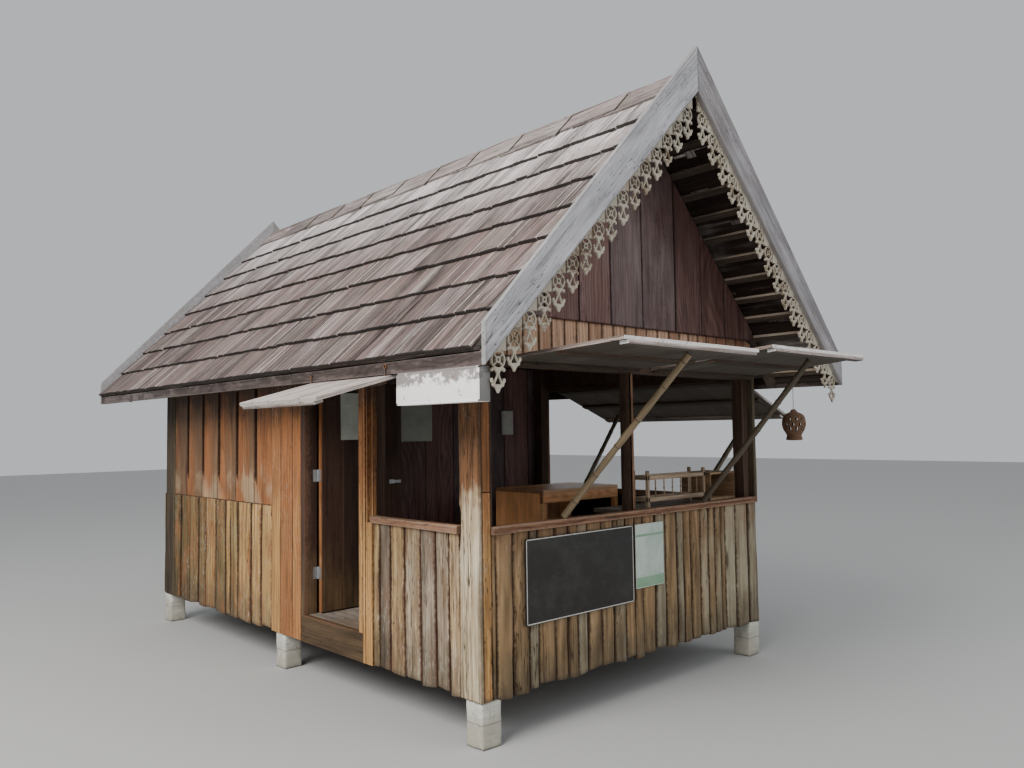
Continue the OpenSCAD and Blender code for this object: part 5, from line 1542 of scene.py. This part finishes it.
for i in range(6):
    wide = (x1 - x0 - 0.022) / 6
    boards.lay(site(x0 + 0.022 + i * wide + 0.001, y1, z0), Z, X, -Y, (under_top - z0, wide - 0.002, end_board),
               arris=0.002)
for x in (x0, x1 - counter_leg):
    boards.lay(site(x, y0 + counter_leg, z0), Z, X, -Y, (z1 - 0.112 - z0, counter_leg, counter_leg), arris=0.003)
boards.lay(site(x0, y0 + 0.022, z1 - 0.11), X, Z, -Y, (x1 - x0, 0.08, 0.022), arris=0.003)
put("serving_counter", boards, counter_wood, "orange_wood", "counter")

boards = Boards(96)
(x0, x1), (y0, y1), (z0, z1) = reach("inner_shelf")
for i in range(2):
    wide = (y1 - y0) / 2
    boards.lay(site(x0, y0 + (i + 1) * wide - 0.001, z0), X, -Y, Z, (x1 - x0, wide - 0.0015, z1 - z0), arris=0.003,
               steps=4)
put("serving_shelf", boards, deck_wood, "dark_wood", "inner_shelf")

# %% Cup rack with turned spindles, and the open box
rack = Tubes(97)
(x0, x1), (y0, y1), (z0, z1) = reach("cup_rack")
leg, rails, spindle, spindles = 0.022, ((0.045, 0.077), (0.200, 0.230)), 0.123, 6
for y in (y0, y1 - leg):
    for x in (x0, x1 - leg):
        rack.lay(site(x, y + leg, z0), Z, X, -Y, (z1 - z0, leg, leg), arris=0.003)
    for low, high in rails:
        rack.lay(site(x0, y + leg - 0.003, z0 + low), X, Z, -Y, (x1 - x0, high - low, leg - 0.006), arris=0.002)
for x in (x0 + 0.003, x1 - leg + 0.003):
    for low, high in rails:
        rack.lay(site(x + leg - 0.006, y0, z0 + low), Y, Z, -X, (y1 - y0, high - low, leg - 0.006), arris=0.002)


def turned(s):
    beads = ((1.0, 0.5, 0.05), (0.7, 0.22, 0.04), (0.7, 0.78, 0.04))
    bead = sum(size * math.exp(-((s / spindle - middle) / wide) ** 2) for size, middle, wide in beads)
    return 0.0042 + 0.0032 * bead, 0.0


for i in range(1, spindles + 1):
    foot = site(x0 + i * 0.7 / (spindles + 1), y0 + leg / 2, z0 + rails[0][1])
    rack.tube(foot, foot + Z * spindle, turned, sides=14, rings=36, cap=False)
put("spindle_rack", rack, rack_wood, "pale_wood", "cup_rack")

boards = Boards(98)
(x0, x1), (y0, y1), (z0, z1) = reach("corner_box")
thick = 0.016
deep, clear = y1 - y0, z1 - z0 - 2 * thick
for z in (z0, z1 - thick):
    boards.lay(site(x0, y1, z), X, -Y, Z, (x1 - x0, deep, thick), arris=0.0015)
for x in (x0 + thick, x1):
    boards.lay(site(x, y0, z0 + thick), Y, Z, -X, (deep, clear, thick), arris=0.0015)
boards.lay(site(x0 + thick, y1, z0 + thick), X, Z, -Y, (x1 - x0 - 2 * thick, clear, thick), arris=0.0015)
box_wood = timber("box_wood", (0.24, 0.13, 0.07), (0.46, 0.275, 0.155), (0.28, 0.20, 0.11), greying=0.2, knots=0.1,
                  edges=0.4, edge=(0.40, 0.28, 0.17), spread=0.7)
put("open_box", boards, box_wood, "orange_wood", "corner_box")

# %% [markdown]
# ## Signs and boards, all bare
# Under the left eave hangs a flat metal box, once a sign and now only weathered white paint with
# rust at the folds. A dark menu board with a thin white line round it and a pale poster board are
# fixed to the front slabs. Nothing is written on any of them.

# %% Weathered white box
def rounded_box(low, high, radius, segments=3):
    work = bmesh.new()
    made = bmesh.ops.create_cube(work, size=1.0)["verts"]
    low, high = Vector(low), Vector(high)
    for vert in made:
        vert.co = Vector((low[i] + high[i]) / 2 + vert.co[i] * (high[i] - low[i]) for i in range(3))
    bmesh.ops.bevel(work, geom=list(work.edges), offset=radius, segments=segments, affect="EDGES", profile=0.5)
    return work


white_sheet, wire, where = blank("white_sheet")
(s0, s1), (u0, u1), (v0, v1) = reach("sign_box")
up = wire.math("DIVIDE", wire.minus(wire.part(where, "Z"), v0), v1 - v0)
along_box = wire.math("DIVIDE", wire.minus(wire.part(where, "Y"), FRONT + u0), u1 - u0)
streaks = wire.drawn(where, (70.0, 70.0, 5.0), 5.0, 0.65)
blotch = wire.drawn(where, (11.0, 11.0, 16.0), 6.0, 0.7)
grit = wire.noise(where, 90.0, 3.0, 0.7)
dirty = wire.times(wire.step(streaks, 0.50, 0.70), wire.step(up, 0.05, 0.75))
damp = wire.plus(wire.line(up, 0.30, blotch), wire.times(along_box, 0.07))
stained = wire.times(wire.step(damp, 0.68, 0.78), wire.step(wire.line(streaks, 0.25, up), 0.62, 0.76))
rusted = wire.step(wire.noise(where, 26.0, 3.0, 0.6), 0.65, 0.71)
# Faces at the box's ends are painted near-black: painted shade on the end faces.
end_face_shade = wire.math("ABSOLUTE", wire.part(wire.node("NewGeometry").outputs["Normal"], "Y"))
colour = wire.blend(grit, (0.93, 0.90, 0.885), (0.99, 0.975, 0.97))
for share, shown in ((wire.times(dirty, 0.5), (0.58, 0.49, 0.45)), (wire.times(stained, 0.9), (0.20, 0.17, 0.165)),
                     (wire.times(rusted, 0.8), (0.24, 0.11, 0.05)),
                     (wire.step(end_face_shade, 0.5, 0.9, 0.0, 0.9), (0.10, 0.098, 0.090))):
    colour = wire.blend(share, colour, shown)
settle(white_sheet, wire, colour, wire.line(dirty, 0.25, 0.45), 0.2, 0.002, grit)
work = rounded_box(site(s0 + 0.001, u0 + 0.001, v0), site(s1, u1 - 0.001, v1), 0.006)
fold, lip = 0.012, s0 + 0.003
for low, high in (((s0, u0, v0), (lip, u1, v0 + fold)), ((s0, u0, v1 - fold), (lip, u1, v1)),
                  ((s0, u0, v0), (lip, u0 + fold, v1)), ((s0, u1 - fold, v0), (lip, u1, v1))):
    pour(rounded_box(site(*low), site(*high), 0.001, 2), work)
put("old_sign_box", finish_mesh(work, "old_sign_box"), white_sheet, "white_sheet", "sign_box")

# %% Menu board with a white line, poster board and notices
def sheet_finish(name, base, second, rough, gloss, scale=1.0):
    finish, wire, where = blank(name)
    dust = wire.noise(where, 6.0 * scale, 6.0, 0.7)
    fine = wire.noise(wire.stretch(where, (40.0, 40.0, 160.0)), scale, 3.0, 0.7)
    scratch = wire.math("ABSOLUTE", wire.minus(wire.drawn(where, (3.0, 9.0, 22.0), 2.0), 0.5))
    lines = wire.times(wire.step(scratch, 0.006, 0.0), 0.25)
    colour = wire.blend(wire.step(dust, 0.40, 0.70), base, second)
    colour = wire.blend(lines, colour, tuple(min(1, c * 1.8 + 0.06) for c in base))
    colour = wire.blend(wire.times(fine, 0.2), colour, dim(second, 0.7))
    return settle(finish, wire, colour, wire.line(dust, 0.3, rough - 0.1), 0.12, 0.001, fine, gloss)


black_sheet = sheet_finish("black_sheet", (0.017, 0.015, 0.013), (0.036, 0.034, 0.031), rough=0.45, gloss=0.35)
chalk_white = sheet_finish("chalk_white", (0.62, 0.61, 0.58), (0.45, 0.43, 0.40), rough=0.7, gloss=0.2, scale=4.0)
poster_sheet = sheet_finish("poster_sheet", (0.56, 0.64, 0.57), (0.42, 0.52, 0.44), rough=0.38, gloss=0.5)
band_green = sheet_finish("band_green", (0.20, 0.36, 0.22), (0.27, 0.42, 0.29), rough=0.38, gloss=0.5)
notice_card = sheet_finish("notice_card", (0.56, 0.58, 0.51), (0.44, 0.46, 0.40), rough=0.75, gloss=0.2)
notice_white = sheet_finish("notice_white", (0.62, 0.62, 0.58), (0.48, 0.48, 0.44), rough=0.7, gloss=0.25)


def panel(name, low, high, finish, slot, *nodes, radius=0.002):
    return put(name, finish_mesh(rounded_box(site(*low), site(*high), radius), name), finish, slot, *nodes)


(m0, m1), _, (n0, n1) = reach("menu_board")
panel("menu_sheet", (m0, -0.0135, n0), (m1, 0.0, n1), black_sheet, "black_sheet", "menu_board")
work = bmesh.new()
line, margin = 0.006, 0.003
a0, a1, c0, c1 = m0 + margin, m1 - margin, n0 + margin, n1 - margin
for (xa, za), (xb, zb) in (((a0, c0), (a1, c0 + line)), ((a0, c1 - line), (a1, c1)),
                           ((a0, c0), (a0 + line, c1)), ((a1 - line, c0), (a1, c1))):
    pour(rounded_box(site(xa, -0.0141, za), site(xb, -0.0131, zb), 0.0003, 1), work)
put("menu_border_line", finish_mesh(work, "menu_border_line"), chalk_white, "board_sheet")

(m0, m1), _, (n0, n1) = reach("poster_board")
panel("poster_sheet_board", (m0, -0.0075, n0), (m1, 0.0, n1), poster_sheet, "board_sheet", "poster_board")
for label, low, high in (("low", n0 + 0.006, n0 + 0.072), ("high", n1 - 0.085, n1 - 0.07)):
    panel("poster_band_" + label, (m0 + 0.004, -0.008, low), (m1 - 0.004, -0.0070, high), band_green,
          "board_sheet", radius=0.0003)


def curled_sheet(name, low, high, out, finish, body):
    boards, points, n = Boards(7), [], 24
    for side in (0, 1):
        for i in range(n + 1):
            for k in range(n + 1):
                u, v = i / n, k / n
                curl = 0.006 * (abs(2 * u - 1) ** 4 * (1 - v) ** 3 + 0.3 * v ** 6)
                curl += 0.0006 * math.sin(9 * u + 5 * v)
                x = low[0] + (high[0] - low[0]) * u
                z = low[2] + (high[2] - low[2]) * v
                points.append(site(x, low[1], z) + Vector(out) * (0.0012 + curl + 0.0006 * side))
    behind = (n + 1) ** 2

    def cell(i, k):
        return i * (n + 1) + k

    faces = []
    for i in range(n):
        for k in range(n):
            quad = (cell(i, k), cell(i + 1, k), cell(i + 1, k + 1), cell(i, k + 1))
            faces += [quad, tuple(behind + q for q in reversed(quad))]
    rim = [cell(i, 0) for i in range(n)] + [cell(n, k) for k in range(n)]
    rim += [cell(i, n) for i in range(n, 0, -1)] + [cell(0, k) for k in range(n, 0, -1)]
    faces += [(a, b, behind + b, behind + a) for a, b in zip(rim, rim[1:] + rim[:1])]
    boards.keep(points, faces, [(p.x, p.y, p.z) for p in points], [0.0] * len(points), None)
    put(name, boards, finish, "notice_card", body=body)


(a0, a1), (_, b1), _ = reach("notice_boards")
panel("notice_backing", (a0 - 0.09, b1 - 0.0055, FLOOR + 1.26), (a0 + 0.43, b1, FLOOR + 1.60), notice_card,
      "notice_card", "notice_boards")
panel("fuse_box", (a1 - 0.14, b1 - 0.029, FLOOR + 1.305), (a1, b1, FLOOR + 1.54), notice_white, "notice_card",
      radius=0.006)
panel("fuse_box_lid", (a1 - 0.132, b1 - 0.030, FLOOR + 1.313), (a1 - 0.008, b1 - 0.027, FLOOR + 1.532),
      notice_white, "notice_card", radius=0.0012)
leaf_face = reach("door_leaf")[1][0]
curled_sheet("leaf_notice", (0.28, leaf_face, 1.75), (0.58, leaf_face, 2.11), -Y, notice_card, "door")

# %% [markdown]
# ## Clay lantern
# A pierced clay pot hangs on a wire under the right eave. A potter throws it as a hollow shape and
# cuts the holes while it is leather-hard. Here a profile is turned into a grid of faces, the faces
# where the holes belong are left out, the skin gets a thickness and the cut edges are rounded.

# %% Pierced pot on a wire
clay = coated("clay", (0.20, 0.115, 0.07), (0.32, 0.20, 0.12), (0.10, 0.06, 0.04), wear=0.5, rough=0.8, scale=5.0,
              bump=0.5, gloss=0.2)
(x0, x1), (y0, y1), (z0, z1) = reach("lantern")
centre, radius = ((x0 + x1) / 2, (y0 + y1) / 2), (x1 - x0) / 2
profile = [(0.70, 0.0), (0.69, 0.02), (0.62, 0.035), (0.64, 0.05), (0.78, 0.072), (0.90, 0.09), (0.97, 0.112),
           (1.0, 0.135), (1.0, 0.155), (0.97, 0.178), (0.90, 0.20), (0.76, 0.217), (0.56, 0.228), (0.34, 0.236),
           (0.28, 0.243), (0.24, 0.252), (0.13, 0.261)]
smooth = [tuple(a[c] + (b[c] - a[c]) * s for c in (0, 1)) for a, b in pairwise(profile) for s in (0.0, 0.5)]
smooth.append(profile[-1])
AROUND, HOLE_ROWS = 60, ((0.085, 0.112), (0.125, 0.150), (0.165, 0.192))
work = bmesh.new()
rows = []
for r, h in smooth:
    turned_at, out = [math.tau * i / AROUND for i in range(AROUND)], r * radius - 0.001
    rows.append([work.verts.new(site(*centre, z0) + Vector((out * math.cos(a), out * math.sin(a), h)))
                 for a in turned_at])
for k, (below, above) in enumerate(pairwise(rows)):
    h = (smooth[k][1] + smooth[k + 1][1]) / 2
    hole_row = [n for n, (low, high) in enumerate(HOLE_ROWS) if low < h < high]
    for i in range(AROUND):
        if not hole_row or (i + 3 * (hole_row[0] % 2)) % 6 not in (0, 1):
            work.faces.new((below[i], below[(i + 1) % AROUND], above[(i + 1) % AROUND], above[i]))
work.faces.new(list(reversed(rows[0])))
lantern = put("pierced_lantern", finish_mesh(work, "pierced_lantern", sharp=None), clay, "clay", "lantern")
for kind, settings in (("SOLIDIFY", {"thickness": 0.007, "offset": -1}),
                       ("SUBSURF", {"levels": 1, "render_levels": 1})):
    modifier = lantern.modifiers.new(kind.lower(), kind)
    for key, value in settings.items():
        setattr(modifier, key, value)
solid = bpy.data.meshes.new_from_object(lantern.evaluated_get(bpy.context.evaluated_depsgraph_get()))
lantern.modifiers.clear()
lantern.data = solid
solid.shade_smooth()
wire_mesh = Tubes(99)
wire_mesh.tube(site(*centre, z0 + 0.258), site(*centre, z1), lambda s: (0.0022, 0.0), sides=10, rings=8)
put("lantern_wire", wire_mesh, rusty_iron, "iron")

# %% [markdown]
# ## Nails
# Boards are held by nails, two at each crossing. They are too small for the construction model, so
# they are set here as low domes, gathered in one piece.

# %% Nail heads
nails = bmesh.new()


def nail(place, out, radius=0.0045):
    out = Vector(out).normalized()
    turn_to = out.to_track_quat("Z", "Y").to_matrix().to_4x4()
    turn_to.translation = Vector(place) - out * 0.0012
    made = bmesh.ops.create_uvsphere(nails, u_segments=8, v_segments=4, radius=radius)["verts"]
    for vert in made:
        vert.co = turn_to @ Vector((vert.co.x, vert.co.y, max(0, vert.co.z) * 0.5))


dice = random.Random(5)
for side in (-1, 1):
    for s in [0.10, 0.17] + [0.62 + 0.62 * i for i in range(4)]:
        for w in (0.06, 0.13):
            z = FASCIA_LOW + s * math.sin(BARGE_ANGLE) + w / math.cos(BARGE_ANGLE) + 0.02
            nail(barge_point(side, s * math.cos(BARGE_ANGLE), z, BARGE_Y), -Y)
for joints, high, place_of, out in ((FRONT_JOINTS, SLAB_TOP, on_front, -Y), (SIDE_JOINTS, SLAB_TOP, on_side, -X),
                                    (DOOR_SIDE_JOINTS, SLAB_HIGH, on_side, -X)):
    for a, b in pairwise(joints):
        for z in (SKIRT + 0.14, high - 0.09):
            place = (a + b) / 2 + dice.uniform(-0.008, 0.008)
            nail(place_of(place, 0.0035, z + dice.uniform(-0.01, 0.01)), out, 0.004)
for y in [FASCIA_Y[0] + 0.25 + 0.62 * i for i in range(10)]:
    for z in (FASCIA_LOW + 0.018, FASCIA_LOW + 0.05):
        nail(site(-FASCIA_OUT, y, z), -X)
        nail(site(WIDE + FASCIA_OUT, y, z), X)
put("nail_heads", finish_mesh(nails, "nail_heads", 60), rusty_iron, "iron")

# %% Size of the visible model, and the end
print("triangles in all", sum(TRIANGLES.values()))
